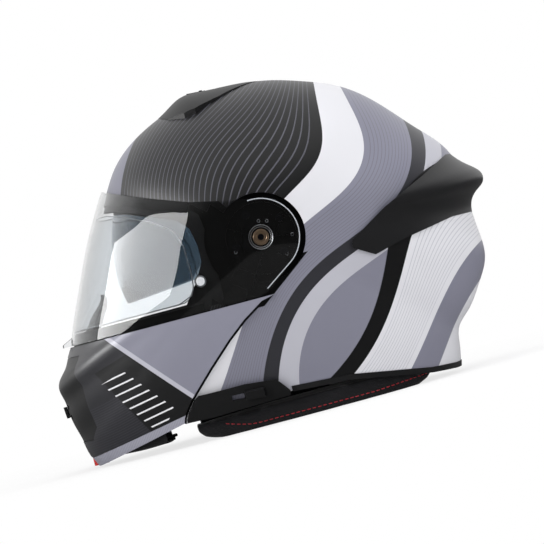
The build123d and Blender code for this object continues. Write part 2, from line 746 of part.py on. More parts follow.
lever_start = (-0.128 * helmet_length, 0.103 * helmet_height)
housing_form = helmet_form(inset(shell_points, -housing_proud), shell_half_width + housing_proud)
slide_plane = skin_plane(housing_form, (lever_start[0], 0, lever_start[1]), (0, -1, 0))
sun_lever_travel = 14.0
knob_length = 16.0
knob_width = 7.5
knob_height = 3.0
stem_length = 9.0
stem_width = 3.6
slider_length = 18.0
slider_width = 7.0
slider_thickness = 1.4
with BuildPart() as control_housing_left:
    add(side_housing.part)
    with BuildSketch(slide_plane.offset(-housing_face)):
        with Locations((sun_lever_travel / 2, 0)):
            Rectangle(slider_length + sun_lever_travel + 2 * seat_gap, slider_width + 2 * seat_gap)
    extrude(amount=-housing_proud, mode=Mode.SUBTRACT)
    with BuildSketch(slide_plane.offset(-housing_face - overrun)):
        with Locations((sun_lever_travel / 2, 0)):
            Rectangle(stem_length + sun_lever_travel + 2 * seat_gap, stem_width + 2 * seat_gap)
    extrude(amount=2 * housing_proud, mode=Mode.SUBTRACT)
save(control_housing_left.part, "control_housing_left")
with BuildPart() as sun_visor_lever:
    with BuildSketch(slide_plane.offset(-housing_face - seat_gap)):
        with Locations((sun_lever_travel, 0)):
            Rectangle(slider_length, slider_width)
    extrude(amount=-slider_thickness)
    with BuildSketch(slide_plane.offset(-housing_face - seat_gap)):
        with Locations((sun_lever_travel, 0)):
            Rectangle(stem_length, stem_width)
    extrude(amount=housing_face + 3 * seat_gap)
    with BuildSketch(slide_plane.offset(2 * seat_gap)):
        with Locations((sun_lever_travel, 0)):
            Rectangle(knob_length, knob_width)
    extrude(amount=knob_height, taper=12.0)
save(sun_visor_lever.part, "sun_visor_lever")
print("sun lever slide", [round(v, 4) for v in slide_plane.x_dir])

# The crown vent: a raised housing over two intake holes, closed by a slider.

vent_bump_shares = [
    (-0.120, 0.965), (-0.093, 0.986), (-0.070, 0.9935), (-0.049, 0.993), (0.007, 0.989),
    (0.054, 0.985), (0.094, 0.976),
]
vent_plan_shares = [
    (-0.144, 0.00), (-0.137, 0.24), (-0.120, 0.40), (-0.085, 0.51), (-0.060, 0.52),
    (-0.003, 0.41), (0.045, 0.27), (0.092, 0.09), (0.098, 0.00),
]
vent_side = 1.2
vent_points = shell_points[:4] + side(vent_bump_shares) + shell_points[7:]
vent_form = helmet_form(vent_points, shell_half_width + vent_side)
near_plan = [(x * helmet_length, -y * shell_half_width) for x, y in vent_plan_shares]
far_plan = [(x, -y) for x, y in near_plan[-2:0:-1]]
vent_plane = skin_plane(vent_form, (intake_x, 0, pivot_z), (0, 0, 1))
pocket_depth = 1.9
vent_slider_length = 15.0
vent_slider_width = 26.0
vent_slider_thickness = 1.5
vent_slider_travel = 9.0
grip_width = 3.0
grip_height = 0.9
with BuildPart() as crown_vent_base:
    add(vent_form)
    add(clip_form, mode=Mode.SUBTRACT)
    add(top_prism(near_plan + far_plan), mode=Mode.INTERSECT)
    with BuildSketch(vent_plane.offset(-pocket_depth)):
        pocket_length = vent_slider_length + vent_slider_travel + 2 * seat_gap
        with Locations((vent_slider_travel / 2, 0)):
            Rectangle(pocket_length, vent_slider_width + 2 * seat_gap)
    extrude(amount=helmet_height, mode=Mode.SUBTRACT)
    with BuildSketch(Plane.XY.offset(pivot_z)):
        with Locations((intake_x, intake_spread), (intake_x, -intake_spread)):
            Circle(intake_radius)
    extrude(amount=helmet_height, mode=Mode.SUBTRACT)
save(crown_vent_base.part, "crown_vent_base")
with BuildPart() as crown_vent_slider:
    with BuildSketch(vent_plane.offset(seat_gap - pocket_depth)):
        Rectangle(vent_slider_length, vent_slider_width)
    extrude(amount=vent_slider_thickness)
    with BuildSketch(vent_plane.offset(seat_gap - pocket_depth + vent_slider_thickness)):
        with Locations((vent_slider_length / 4, 0)):
            Rectangle(grip_width, vent_slider_width / 2)
    extrude(amount=grip_height, taper=20.0)
save(crown_vent_slider.part, "crown_vent_slider")
print("vent slide", [round(v, 4) for v in vent_plane.x_dir])

# The rear spoiler wraps round the back of the shell as one wing.

spoiler_rear_shares = [
    (0.386, 0.728), (0.420, 0.680), (0.442, 0.630), (0.474, 0.582), (0.500, 0.538),
    (0.497, 0.522), (0.478, 0.500), (0.462, 0.472), (0.458, 0.440), (0.462, 0.387),
]
spoiler_region_shares = [
    (0.185, 0.440), (0.188, 0.453), (0.270, 0.520), (0.369, 0.582), (0.412, 0.612),
    (0.441, 0.632), (0.600, 0.680), (0.600, 0.440), (0.409, 0.445), (0.292, 0.418),
    (0.228, 0.396), (0.186, 0.430),
]
spoiler_side = 3.0
spoiler_points = inset(shell_points, -trim_proud)[:10] + side(spoiler_rear_shares) + shell_points[15:]
with BuildPart() as rear_spoiler:
    add(helmet_form(spoiler_points, shell_half_width + spoiler_side))
    add(side_prism(side(spoiler_region_shares)), mode=Mode.INTERSECT)
    add(clip_form, mode=Mode.SUBTRACT)
save(rear_spoiler.part, "rear_spoiler")

# Rubber seals: one round the eye port's edge, one along the top of the chin bar's visor seat.

gasket_outer = 0.4
gasket_depth = 5.2
gasket_lip = 1.5
gasket_reach = 4.0
opening_points = side(shell_opening_shares)
port_top = helmet_height
port_low = 0.440 * helmet_height
port_rear = -0.080 * helmet_length
port_area = [
    (-helmet_length, port_low), (-helmet_length, port_top), (port_rear, port_top), (port_rear, port_low),
]
with BuildPart() as port_band:
    add(side_prism(inset(opening_points, -gasket_reach)))
    add(side_prism(inset(opening_points, gasket_lip)), mode=Mode.SUBTRACT)
    add(side_prism(port_area), mode=Mode.INTERSECT)
with BuildPart() as gasket_groove:
    add(skin(shell_points, shell_half_width, -overrun, shell_wall + clip_gap))
    add(side_prism(inset(opening_points, clip_gap)), mode=Mode.SUBTRACT)
with BuildPart() as brow_gasket:
    add(skin(shell_points, shell_half_width, gasket_outer, gasket_depth))
    add(port_band.part, mode=Mode.INTERSECT)
    add(gasket_groove.part, mode=Mode.SUBTRACT)
    add(liner_well, mode=Mode.SUBTRACT)
    add(mirror(liner_well, about=Plane.XZ), mode=Mode.SUBTRACT)
save(brow_gasket.part, "brow_gasket")

seal_height = 2.0
with BuildPart() as chin_gasket:
    add(seat_form)
    add(seat_hollow, mode=Mode.SUBTRACT)
    seal_area = [
        (-helmet_length, seat_top), (-helmet_length, seat_top + seal_height),
        (seat_rear, seat_top + seal_height), (seat_rear, seat_top),
    ]
    add(side_prism(seal_area), mode=Mode.INTERSECT)
save(chin_gasket.part, "chin_gasket")

# The chin bar's lining, its breath deflector and the fabric curtain under the chin.

lining_shares = [(-0.900, 0.330), (-0.335, 0.330), (-0.325, 0.290), (-0.325, 0.100), (-0.900, 0.090)]
bay_half_width = 34.0
bay_depth = 9.0
bay_low = 0.050 * helmet_height
bay_high = 0.285 * helmet_height
cover_flange = 3.0
flange_thickness = 1.5
cover_depth = chin_wall + seat_gap + flange_thickness
lining_inset = chin_wall + 2 * seat_gap
lining_form = helmet_form(inset(chin_points, lining_inset), chin_half_width - lining_inset)
with BuildPart() as vent_bay:
    add(skin(chin_points, chin_half_width, 0, bay_depth))
    add(front_prism(centred(bay_half_width, bay_low, bay_high), front_depth), mode=Mode.INTERSECT)
with BuildPart() as cover_bay:
    add(skin(chin_points, chin_half_width, 0, cover_depth + seat_gap))
    add(front_prism(grown(vent_window, cover_flange + seat_gap), front_depth), mode=Mode.INTERSECT)
with BuildPart() as chin_lining:
    add(lining_form)
    lining_inside = helmet_form(drawn_in(chin_points, padding_depth), chin_half_width - padding_depth)
    add(lining_inside, mode=Mode.SUBTRACT)
    add(side_prism(side(lining_shares)), mode=Mode.INTERSECT)
    add(vent_bay.part, mode=Mode.SUBTRACT)
    add(cover_bay.part, mode=Mode.SUBTRACT)
save(chin_lining.part, "chin_lining")

deflector_shares = [
    (-0.361, 0.491), (-0.350, 0.600), (-0.270, 0.780), (-0.130, 0.930), (0.005, 0.980),
    (0.200, 0.900), (0.330, 0.700), (0.360, 0.400), (0.330, 0.000), (0.200, -0.200),
    (0.005, -0.280), (-0.200, -0.220), (-0.380, -0.060), (-0.447, 0.150), (-0.447, 0.300),
    (-0.433, 0.362), (-0.410, 0.400), (-0.387, 0.440),
]
deflector_thickness = 1.5
deflector_half_width = 120.0
deflector_rear = -0.248 * helmet_length
deflector_front_shares = [(0.40, 0.340), (0.40, 0.385), (0.32, 0.450), (0.14, 0.489)]
with BuildPart() as breath_deflector:
    add(skin(side(deflector_shares), deflector_half_width, 0, deflector_thickness))
    add(front_prism(both_sides(deflector_front_shares), deflector_rear), mode=Mode.INTERSECT)
save(breath_deflector.part, "breath_deflector")

curtain_wall = 1.6
curtain_floor = 6.0
curtain_wall_shares = [
    (-0.900, 0.012), (-0.412, 0.012), (-0.277, 0.016), (-0.246, 0.012), (-0.240, 0.034),
    (-0.262, 0.070), (-0.330, 0.072), (-0.900, 0.072),
]
curtain_reach = 42.0
curtain_rear = -0.270 * helmet_length
curtain_sheet_area = [
    (-helmet_length, curtain_floor), (-helmet_length, curtain_floor + curtain_wall),
    (curtain_rear, curtain_floor + curtain_wall), (curtain_rear, curtain_floor),
]
button_space = centred(button_half_width + 3 * seat_gap, -helmet_height, button_top + 3 * seat_gap)
with BuildPart() as curtain_sheet:
    add(lining_form)
    curtain_inside = helmet_form(drawn_in(chin_points, curtain_reach), chin_half_width - curtain_reach)
    add(curtain_inside, mode=Mode.SUBTRACT)
    add(side_prism(curtain_sheet_area), mode=Mode.INTERSECT)
with BuildPart() as chin_curtain:
    add(skin(chin_points, chin_half_width, chin_wall + seat_gap, chin_wall + seat_gap + curtain_wall))
    add(side_prism(side(curtain_wall_shares)), mode=Mode.INTERSECT)
    add(curtain_sheet.part)
    add(front_prism(button_space, notch_rear + 3 * seat_gap), mode=Mode.SUBTRACT)
save(chin_curtain.part, "chin_curtain")

# The front vent cover fills the chin bar's window; its shutter slides up behind it.

shutter_half_width = 26.0
shutter_low = 0.130 * helmet_height
shutter_high = 0.222 * helmet_height
shutter_travel = 6.0
shutter_thickness = 1.4
shutter_gap = 0.9
slot_heights = (0.165 * helmet_height, 0.195 * helmet_height)
slot_height = 3.6
slot_middle = 17.0
slot_length = 14.0
button_stem_width = 6.0
stem_height = 5.0
knob_level = 0.180 * helmet_height
with BuildPart() as cover_body:
    add(chin_form)
    add(helmet_form(inset(chin_points, cover_depth), chin_half_width - cover_depth), mode=Mode.SUBTRACT)
    add(front_prism(grown(vent_window, -seat_gap), front_depth), mode=Mode.INTERSECT)
with BuildPart() as cover_rim:
    add(skin(chin_points, chin_half_width, chin_wall + seat_gap, cover_depth))
    add(front_prism(grown(vent_window, cover_flange), front_depth), mode=Mode.INTERSECT)
    add(front_prism(button_space, front_depth), mode=Mode.SUBTRACT)
with BuildPart() as chin_vent_cover:
    add(cover_body.part)
    add(cover_rim.part)
    for height in slot_heights:
        for middle in (-slot_middle, slot_middle):
            with BuildSketch(Plane.YZ.offset(front_depth)):
                with Locations((middle, height)):
                    SlotOverall(slot_length, slot_height)
            extrude(amount=-helmet_length, mode=Mode.SUBTRACT)
    with BuildSketch(Plane.YZ.offset(front_depth)):
        with Locations((0, knob_level + shutter_travel / 2)):
            Rectangle(button_stem_width + 2 * seat_gap, stem_height + shutter_travel + 4 * seat_gap)
    extrude(amount=-helmet_length, mode=Mode.SUBTRACT)
save(chin_vent_cover.part, "chin_vent_cover")

knob_half_width = 9.0
knob_half_height = 4.5
shutter_knob_height = 2.1
with BuildPart() as shutter_plate:
    plate_outer = cover_depth + shutter_gap
    add(skin(chin_points, chin_half_width, plate_outer, plate_outer + shutter_thickness))
    add(front_prism(centred(shutter_half_width, shutter_low, shutter_high), front_depth), mode=Mode.INTERSECT)
    for height in slot_heights:
        for middle in (-slot_middle, slot_middle):
            with BuildSketch(Plane.YZ.offset(front_depth)):
                with Locations((middle, height - shutter_travel)):
                    SlotOverall(slot_length, slot_height)
            extrude(amount=-helmet_length, mode=Mode.SUBTRACT)
with BuildPart() as shutter_knob:
    add(skin(chin_points, chin_half_width, -3 * seat_gap - shutter_knob_height, -3 * seat_gap))
    knob_face = centred(knob_half_width, knob_level - knob_half_height, knob_level + knob_half_height)
    add(front_prism(knob_face, front_depth), mode=Mode.INTERSECT)
with BuildPart() as shutter_stem:
    add(skin(chin_points, chin_half_width, -3 * seat_gap, plate_outer))
    stem = centred(button_stem_width / 2, knob_level - stem_height / 2, knob_level + stem_height / 2)
    add(front_prism(stem, front_depth), mode=Mode.INTERSECT)
with BuildPart() as chin_vent_shutter:
    add(shutter_plate.part)
    add(shutter_stem.part)
    add(shutter_knob.part)
save(chin_vent_shutter.part, "chin_vent_shutter")

# The red release button under the chin, and the latch hooks and striker pins that it works.

button_front = -0.466 * helmet_length
button_travel = 3.0
button_rear = notch_rear - button_travel - seat_gap
with BuildPart() as release_button:
    with BuildSketch(Plane.XY.offset(button_bottom)):
        with Locations(((button_front + button_rear) / 2, 0)):
            Rectangle(button_rear - button_front, 2 * button_half_width)
    extrude(amount=button_top - button_bottom)
    front_corners = release_button.edges().filter_by(Axis.Z).group_by(Axis.X)[0]
    fillet(front_corners, radius=(button_rear - button_front) / 4)
save(release_button.part, "release_button")

striker_shares = (-0.218, 0.149)
hook_shares = [
    (-0.294, 0.153), (-0.234, 0.157), (-0.2275, 0.163), (-0.212, 0.160), (-0.200, 0.147),
    (-0.193, 0.160), (-0.212, 0.187), (-0.251, 0.194), (-0.294, 0.191),
]
striker_place = side([striker_shares])[0]
striker_tip = latch_near - latch_thickness
with BuildPart() as striker:
    add(side_disc(striker_place, striker_radius, striker_tip, helmet_length))
    add(shell_hollow, mode=Mode.INTERSECT)
with BuildPart() as striker_flange:
    add(side_disc(striker_place, striker_flange_radius, 0, helmet_length))
    flange_layer = skin(shell_points, shell_half_width, shell_wall, shell_wall + striker_flange_depth)
    add(flange_layer, mode=Mode.INTERSECT)
with BuildPart() as striker_left:
    add(striker.part)
    add(striker_flange.part)
with BuildPart() as latch_hook_left:
    add(side_prism(side(hook_shares), latch_near, latch_near + latch_thickness))
    add(side_disc(latch_pivot, 2 * latch_stud_radius, latch_near, latch_near + latch_thickness))
    add(side_disc(latch_pivot, latch_stud_radius + fit_gap, 0, helmet_length), mode=Mode.SUBTRACT)
for piece, name in ((striker_left.part, "striker"), (latch_hook_left.part, "latch_hook")):
    save(piece, f"{name}_left")
    save(mirror(piece, about=Plane.XZ), f"{name}_right")

# The chin strap: a ribbon from each side of the shell to a ratchet buckle in the middle.

strap_x = 0.065 * helmet_length
strap_path_shares = [
    (0.889, 0.240), (0.874, 0.188), (0.818, 0.135), (0.697, 0.095), (0.580, 0.066), (0.400, 0.041),
]
strap_end_left = 18.0
strap_end_right = 24.0
strap_level = 0.030 * helmet_height
rivet_x = strap_x + strap_width / 2
rivet_z = 0.222 * helmet_height
rivet_radius = 2.5
rivet_head_radius = 5.0
rivet_head_thickness = 1.3


def strap(side_sign, end):
    """Makes one strap along its path, from the shell to its end near the middle."""
    path = [(side_sign * y * shell_half_width, z * helmet_height) for y, z in strap_path_shares]
    with BuildPart() as ribbon:
        with BuildSketch(Plane.YZ.offset(strap_x)):
            with BuildLine():
                Spline(*path, (side_sign * end, strap_level))
            trace(line_width=strap_thickness)
        extrude(amount=strap_width)
        add(side_disc((rivet_x, rivet_z), rivet_radius, -helmet_length, helmet_length), mode=Mode.SUBTRACT)
    return ribbon.part


save(strap(-1, strap_end_left), "strap_left")
save(strap(1, strap_end_right), "strap_right")
rivet_inner = 0.875 * shell_half_width
with BuildPart() as rivet_left:
    add(side_disc((rivet_x, rivet_z), rivet_radius, rivet_inner, helmet_length))
    add(shell_hollow, mode=Mode.INTERSECT)
    add(side_disc((rivet_x, rivet_z), rivet_head_radius, rivet_inner - rivet_head_thickness, rivet_inner))
with BuildPart() as strap_rivets:
    add(rivet_left.part)
    mirror(about=Plane.XZ)
save(strap_rivets.part, "strap_rivets")

buckle_wall = 1.4
buckle_width = strap_width + 2 * buckle_wall + 2 * seat_gap
buckle_length = 32.0
buckle_drop = 3.0
buckle_floor = strap_level - buckle_drop
buckle_height = 8.0
buckle_setback = 7.5
buckle_lever_length = 24.6
buckle_middle = rivet_x
buckle_start = -strap_end_left + seat_gap
tongue_thickness = 1.6
tongue_width = 14.0
tooth_height = 0.9
tooth_pitch = 2.6
tooth_count = 8
hinge_pin_radius = 1.5
lever_plate = 1.8
buckle_axis = (buckle_start + buckle_setback, buckle_floor + buckle_height - hinge_pin_radius)
with BuildPart() as buckle_body:
    with BuildSketch(Plane.XY.offset(buckle_floor)):
        with Locations((buckle_middle, buckle_start + buckle_length / 2)):
            Rectangle(buckle_width, buckle_length)
    extrude(amount=buckle_height)
    with BuildSketch(Plane.XY.offset(buckle_floor + buckle_wall)):
        with Locations((buckle_middle, buckle_start + buckle_length / 2 + buckle_wall)):
            Rectangle(buckle_width - 2 * buckle_wall, buckle_length)
    extrude(amount=buckle_height, mode=Mode.SUBTRACT)
    with BuildSketch(Plane.YZ.offset(buckle_middle - buckle_width / 2)):
        with Locations(buckle_axis):
            Circle(hinge_pin_radius - fit_gap)
    extrude(amount=buckle_width)
save(buckle_body.part, "buckle_body")
with BuildPart() as buckle_lever:
    with BuildSketch(Plane.YZ.offset(buckle_middle - buckle_width / 2 + buckle_wall + seat_gap)):
        with Locations(buckle_axis):
            Circle(2 * hinge_pin_radius)
        with Locations((buckle_axis[0] + buckle_lever_length / 2, buckle_axis[1] + hinge_pin_radius)):
            Rectangle(buckle_lever_length, lever_plate)
        with Locations(buckle_axis):
            Circle(hinge_pin_radius, mode=Mode.SUBTRACT)
    extrude(amount=buckle_width - 2 * buckle_wall - 2 * seat_gap)
save(buckle_lever.part, "buckle_lever")
tongue_start = buckle_axis[0] + 3 * hinge_pin_radius
tongue_floor = buckle_floor + buckle_wall + seat_gap
with BuildPart() as strap_tongue:
    with BuildSketch(Plane.XY.offset(tongue_floor)):
        with Locations((buckle_middle, (tongue_start + strap_end_right - seat_gap) / 2)):
            Rectangle(tongue_width, strap_end_right - seat_gap - tongue_start)
    extrude(amount=tongue_thickness)
    for tooth in range(tooth_count):
        start = tongue_start + tooth * tooth_pitch
        with BuildSketch(Plane.YZ.offset(buckle_middle - tongue_width / 2)):
            with BuildLine():
                top = tongue_floor + tongue_thickness
                crest = (start + tooth_pitch, top + tooth_height)
                Polyline((start, top), (start + tooth_pitch, top), crest, close=True)
            make_face()
        extrude(amount=tongue_width)
save(strap_tongue.part, "strap_tongue")
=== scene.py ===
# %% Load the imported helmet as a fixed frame
import json
import math

import bmesh
import bpy
import numpy as np
from mathutils import Matrix, Vector
from mathutils.bvhtree import BVHTree


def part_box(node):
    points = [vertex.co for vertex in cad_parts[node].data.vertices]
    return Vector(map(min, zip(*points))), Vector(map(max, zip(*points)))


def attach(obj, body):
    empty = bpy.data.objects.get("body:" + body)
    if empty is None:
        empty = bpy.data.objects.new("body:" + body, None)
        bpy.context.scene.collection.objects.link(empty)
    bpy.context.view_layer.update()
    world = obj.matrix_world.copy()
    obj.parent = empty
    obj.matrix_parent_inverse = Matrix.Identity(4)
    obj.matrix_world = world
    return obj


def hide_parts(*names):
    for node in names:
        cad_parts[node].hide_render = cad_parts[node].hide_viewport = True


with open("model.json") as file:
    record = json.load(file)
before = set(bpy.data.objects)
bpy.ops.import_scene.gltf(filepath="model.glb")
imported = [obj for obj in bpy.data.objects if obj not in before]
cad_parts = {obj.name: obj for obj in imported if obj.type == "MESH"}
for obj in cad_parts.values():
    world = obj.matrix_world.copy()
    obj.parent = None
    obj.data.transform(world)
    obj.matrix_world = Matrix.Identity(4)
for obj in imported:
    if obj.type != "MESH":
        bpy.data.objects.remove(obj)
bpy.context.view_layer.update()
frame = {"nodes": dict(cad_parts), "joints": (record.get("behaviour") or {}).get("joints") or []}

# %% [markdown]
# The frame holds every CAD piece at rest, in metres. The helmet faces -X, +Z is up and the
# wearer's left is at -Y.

nodes = frame["nodes"]
scene = bpy.context.scene
joints = {joint["name"]: joint for joint in frame["joints"]}
pivot_x, _, pivot_z = joints["chin_bar_lift"]["pos_m"]
MM = 0.001

# %% [markdown]
# Colours are written as sRGB hex values, the way a paint maker or a web page gives them.
# Blender's shaders want linear light, so one function turns one into the other. A second
# helper adds any node to a material, with its settings and its links, and is all that the
# materials below need.

# %% Colour and node helpers
def linear(hex_text):
    """Turns an sRGB hex colour into linear RGBA."""
    channels = []
    for start in (1, 3, 5):
        value = int(hex_text[start:start + 2], 16) / 255
        channels.append(value / 12.92 if value <= 0.04045 else ((value + 0.055) / 1.055) ** 2.4)
    return (*channels, 1.0)


def add_node(tree, kind, sockets=(), **settings):
    """Adds a shader node of a kind, with its settings, and sets or links each named input socket."""
    made = tree.nodes.new("ShaderNode" + kind)
    for name, value in settings.items():
        setattr(made, name, value)
    for name, value in dict(sockets).items():
        if isinstance(value, bpy.types.NodeSocket):
            tree.links.new(value, made.inputs[name])
        else:
            made.inputs[name].default_value = value
    return made


def new_material(name, **sockets):
    """Makes a material with one Principled shader and sets its sockets, with spaces for underscores."""
    material = bpy.data.materials.new(name)
    material.use_nodes = True
    tree = material.node_tree
    shader = tree.nodes["Principled BSDF"]
    for key, value in sockets.items():
        shader.inputs[key.replace("_", " ")].default_value = value
    return material, tree, shader


def bump(tree, shader, height, depth, strength=1.0):
    """Feeds a height socket, worth depth metres, into the shader's normal."""
    raised = add_node(tree, "Bump", {"Height": height, "Distance": depth, "Strength": strength})
    tree.links.new(raised.outputs["Normal"], shader.inputs["Normal"])


def place(tree):
    """Gives the object coordinates, which are metres in the helmet's own frame."""
    return add_node(tree, "TexCoord").outputs["Object"]

# %% [markdown]
# The shell is a moulded polycarbonate blend, sprayed, printed with a film graphic and sealed
# under a matte clear lacquer. A matte lacquer has a broad, soft highlight, so its roughness is
# near 0.45, with an IOR of 1.5. The graphic is a generic one, of waving bands about two points in
# the side view, which the two sides share, as a printer would lay one film on each side. Fine
# lines, drawn 2.6 to 3 mm apart so that they show, follow the bands.

# %% The graphic's fields
def side_view(tree):
    """Gives x and z in metres as two sockets."""
    parts = add_node(tree, "SeparateXYZ", {"Vector": place(tree)})
    return parts.outputs["X"], parts.outputs["Z"]


def arc_radius(tree, centre_x, centre_z, wave=0.0):
    """Gives each point's distance in millimetres from a centre in the side view."""
    flat = add_node(tree, "VectorMath", {0: place(tree), 1: (1, 0, 1)}, operation="MULTIPLY")
    offset = add_node(tree, "VectorMath", {0: flat.outputs[0], 1: (centre_x * MM, 0, centre_z * MM)},
                      operation="DISTANCE")
    in_mm = add_node(tree, "Math", {0: offset.outputs["Value"], 1: 1 / MM}, operation="MULTIPLY")
    if not wave:
        return in_mm.outputs[0]
    x, z = side_view(tree)
    bent = in_mm.outputs[0]
    for along_x, along_z, size in ((21.0, 13.0, wave), (-11.0, 34.0, wave / 2)):
        lean = times(tree, x, along_x)
        swing = add_node(tree, "Math", {0: z, 1: along_z, 2: lean}, operation="MULTIPLY_ADD")
        sine = add_node(tree, "Math", {0: swing.outputs[0]}, operation="SINE")
        bent = add_node(tree, "Math", {0: sine.outputs[0], 1: size, 2: bent},
                        operation="MULTIPLY_ADD").outputs[0]
    return bent


def bands(tree, radius, stops, low, high):
    """Turns a radius into flat bands of colour: stops are (radius at which a band starts, hex)."""
    share = add_node(tree, "MapRange", {"Value": radius, "From Min": low, "From Max": high})
    ramp = add_node(tree, "ValToRGB", {"Fac": share.outputs["Result"]})
    ramp.color_ramp.interpolation = "CONSTANT"
    elements = ramp.color_ramp.elements
    elements.remove(elements[1])
    elements[0].position, elements[0].color = 0.0, linear(stops[0][1])
    for start, colour in stops[1:]:
        elements.new((start - low) / (high - low)).color = linear(colour)
    return ramp.outputs["Color"]


def fine_lines(tree, radius, pitch, width):
    """Gives 1 on thin lines that follow a radius, pitch and width in millimetres."""
    turns = add_node(tree, "Math", {0: radius, 1: pitch}, operation="DIVIDE")
    part = add_node(tree, "Math", {0: turns.outputs[0]}, operation="FRACT")
    line = add_node(tree, "Math", {0: part.outputs[0], 1: width / pitch}, operation="LESS_THAN")
    return line.outputs[0]


def between(tree, value, low, high):
    """Gives 1 where a value lies between two limits."""
    over = add_node(tree, "Math", {0: value, 1: low}, operation="GREATER_THAN")
    under = add_node(tree, "Math", {0: value, 1: high}, operation="LESS_THAN")
    both = add_node(tree, "Math", {0: over.outputs[0], 1: under.outputs[0]}, operation="MULTIPLY")
    return both.outputs[0]


def times(tree, first, second):
    """Multiplies two sockets or numbers."""
    return add_node(tree, "Math", {0: first, 1: second}, operation="MULTIPLY").outputs[0]


def laid_over(tree, mask, below, above):
    """Lays one colour over another where the mask is 1."""
    mix = add_node(tree, "Mix", data_type="RGBA")
    for index, value in ((0, mask), (6, below), (7, above)):
        if isinstance(value, bpy.types.NodeSocket):
            tree.links.new(value, mix.inputs[index])
        else:
            mix.inputs[index].default_value = value
    return mix.outputs[2]


# %% The lacquered shell with its two families of arcs
BLACK, CHARCOAL, LILAC = "#0b0b0d", "#2c2c32", "#7c7c8b"
LIGHT_GREY, SILVER, LINE_GREY = "#b3b3bc", "#d6d6db", "#4c4c55"


def lacquer(name):
    """Makes a matte lacquered material with faint unevenness, whose colour is set later."""
    material, tree, shader = new_material(name, IOR=1.5, Roughness=0.42, Coat_Weight=0.12,
                                          Coat_Roughness=0.3)
    cloud = add_node(tree, "TexNoise", {"Vector": place(tree), "Scale": 900.0, "Detail": 2.0})
    bump(tree, shader, cloud.outputs["Fac"], 0.02 * MM, 0.25)
    return material, tree, shader


shell_lacquer, tree, shader = lacquer("matte_lacquered_printed_shell")
sweep = arc_radius(tree, -262, 330, wave=24.0)
rear_sweep = arc_radius(tree, 338, -236, wave=16.0)
base = bands(tree, sweep, [
    (200, LIGHT_GREY), (212, LILAC), (236, BLACK), (332, SILVER), (352, LILAC), (388, CHARCOAL),
    (402, LIGHT_GREY), (420, LILAC), (470, SILVER), (482, CHARCOAL),
], 200, 520)
crown_lines = times(tree, fine_lines(tree, sweep, 3.0, 0.5), between(tree, sweep, 240, 328))
base = laid_over(tree, crown_lines, base, linear(LINE_GREY))
grey_lines = times(tree, fine_lines(tree, sweep, 2.6, 0.45), between(tree, sweep, 356, 386))
base = laid_over(tree, grey_lines, base, linear("#6b6b76"))
base = laid_over(tree, between(tree, rear_sweep, 0, 408), base, linear(SILVER))
base = laid_over(tree, between(tree, rear_sweep, 408, 422), base, linear(BLACK))
base = laid_over(tree, between(tree, rear_sweep, 340, 364), base, linear(LILAC))
silver_lines = times(tree, fine_lines(tree, rear_sweep, 2.6, 0.45), between(tree, rear_sweep, 368, 404))
base = laid_over(tree, silver_lines, base, linear(LIGHT_GREY))
tree.links.new(base, shader.inputs["Base Color"])

# %% [markdown]
# The chin bar has its own film: plain bands and eight slanted stripes. Straight edges in the
# side view are half planes, so each area is a product of a few of them, which keeps the edges
# crisp at any distance. A painted image would blur.

# %% The chin bar's graphic: a lilac flank, a dark side panel, eight plain stripes and an edge band
def beyond(tree, slope, limit):
    """Gives 1 where slope * x + z is over a limit in millimetres, in the side view."""
    x, z = side_view(tree)
    lean = add_node(tree, "Math", {0: x, 1: slope, 2: z}, operation="MULTIPLY_ADD")
    return add_node(tree, "Math", {0: lean.outputs[0], 1: limit * MM}, operation="GREATER_THAN").outputs[0]


def short_of(tree, slope, limit):
    """Gives 1 where slope * x + z isn't over a limit in millimetres."""
    return add_node(tree, "Math", {0: 1.0, 1: beyond(tree, slope, limit)}, operation="SUBTRACT").outputs[0]


def all_of(tree, *masks):
    """Multiplies masks."""
    found = masks[0]
    for mask in masks[1:]:
        found = times(tree, found, mask)
    return found


STRIPE_SLOPE, STRIPE_PITCH, STRIPE_WIDTH = -0.19, 6.8, 1.25
FIRST_STRIPE, LAST_STRIPE = 92.0, 44.4
chin_lacquer, tree, shader = lacquer("matte_lacquered_printed_chin_bar")
sweep = arc_radius(tree, -262, 330, wave=9.0)
base = laid_over(tree, times(tree, fine_lines(tree, sweep, 2.2, 0.8), between(tree, sweep, 296, 345)),
                 linear("#27272c"), linear("#34343b"))
flank = beyond(tree, 1.128, -56.1)
base = laid_over(tree, flank, base, linear("#858594"))
base = laid_over(tree, times(tree, flank, short_of(tree, 1.128, -51.0)), base, linear("#b9b9c4"))
panel = all_of(tree, beyond(tree, 1.754, -190.0), short_of(tree, 1.128, -56.1),
               short_of(tree, -0.305, 118.8))
base = laid_over(tree, panel, base, linear("#131315"))
x, z = side_view(tree)
level = add_node(tree, "Math", {0: x, 1: STRIPE_SLOPE, 2: z}, operation="MULTIPLY_ADD")
run = add_node(tree, "Math", {0: level.outputs[0], 1: 1 / MM, 2: STRIPE_WIDTH / 2 - LAST_STRIPE},
               operation="MULTIPLY_ADD")
stripe = fine_lines(tree, run.outputs[0], STRIPE_PITCH, STRIPE_WIDTH)
stripe = all_of(tree, stripe, between(tree, run.outputs[0], 0, FIRST_STRIPE - LAST_STRIPE + STRIPE_WIDTH),
                beyond(tree, 1.4286, -146.1), short_of(tree, 1.205, -84.3), short_of(tree, -0.305, 108.4),
                beyond(tree, -1.4, 168.6))
base = laid_over(tree, stripe, base, linear("#e9e9ec"))
edge_band = short_of(tree, STRIPE_SLOPE, 41.2)
base = laid_over(tree, edge_band, base, linear("#a3a3b0"))
edge_ribs = fine_lines(tree, times(tree, x, 1 / MM), 1.3, 0.4)
base = laid_over(tree, times(tree, edge_band, edge_ribs), base, linear("#8f8f9c"))
tree.links.new(base, shader.inputs["Base Color"])

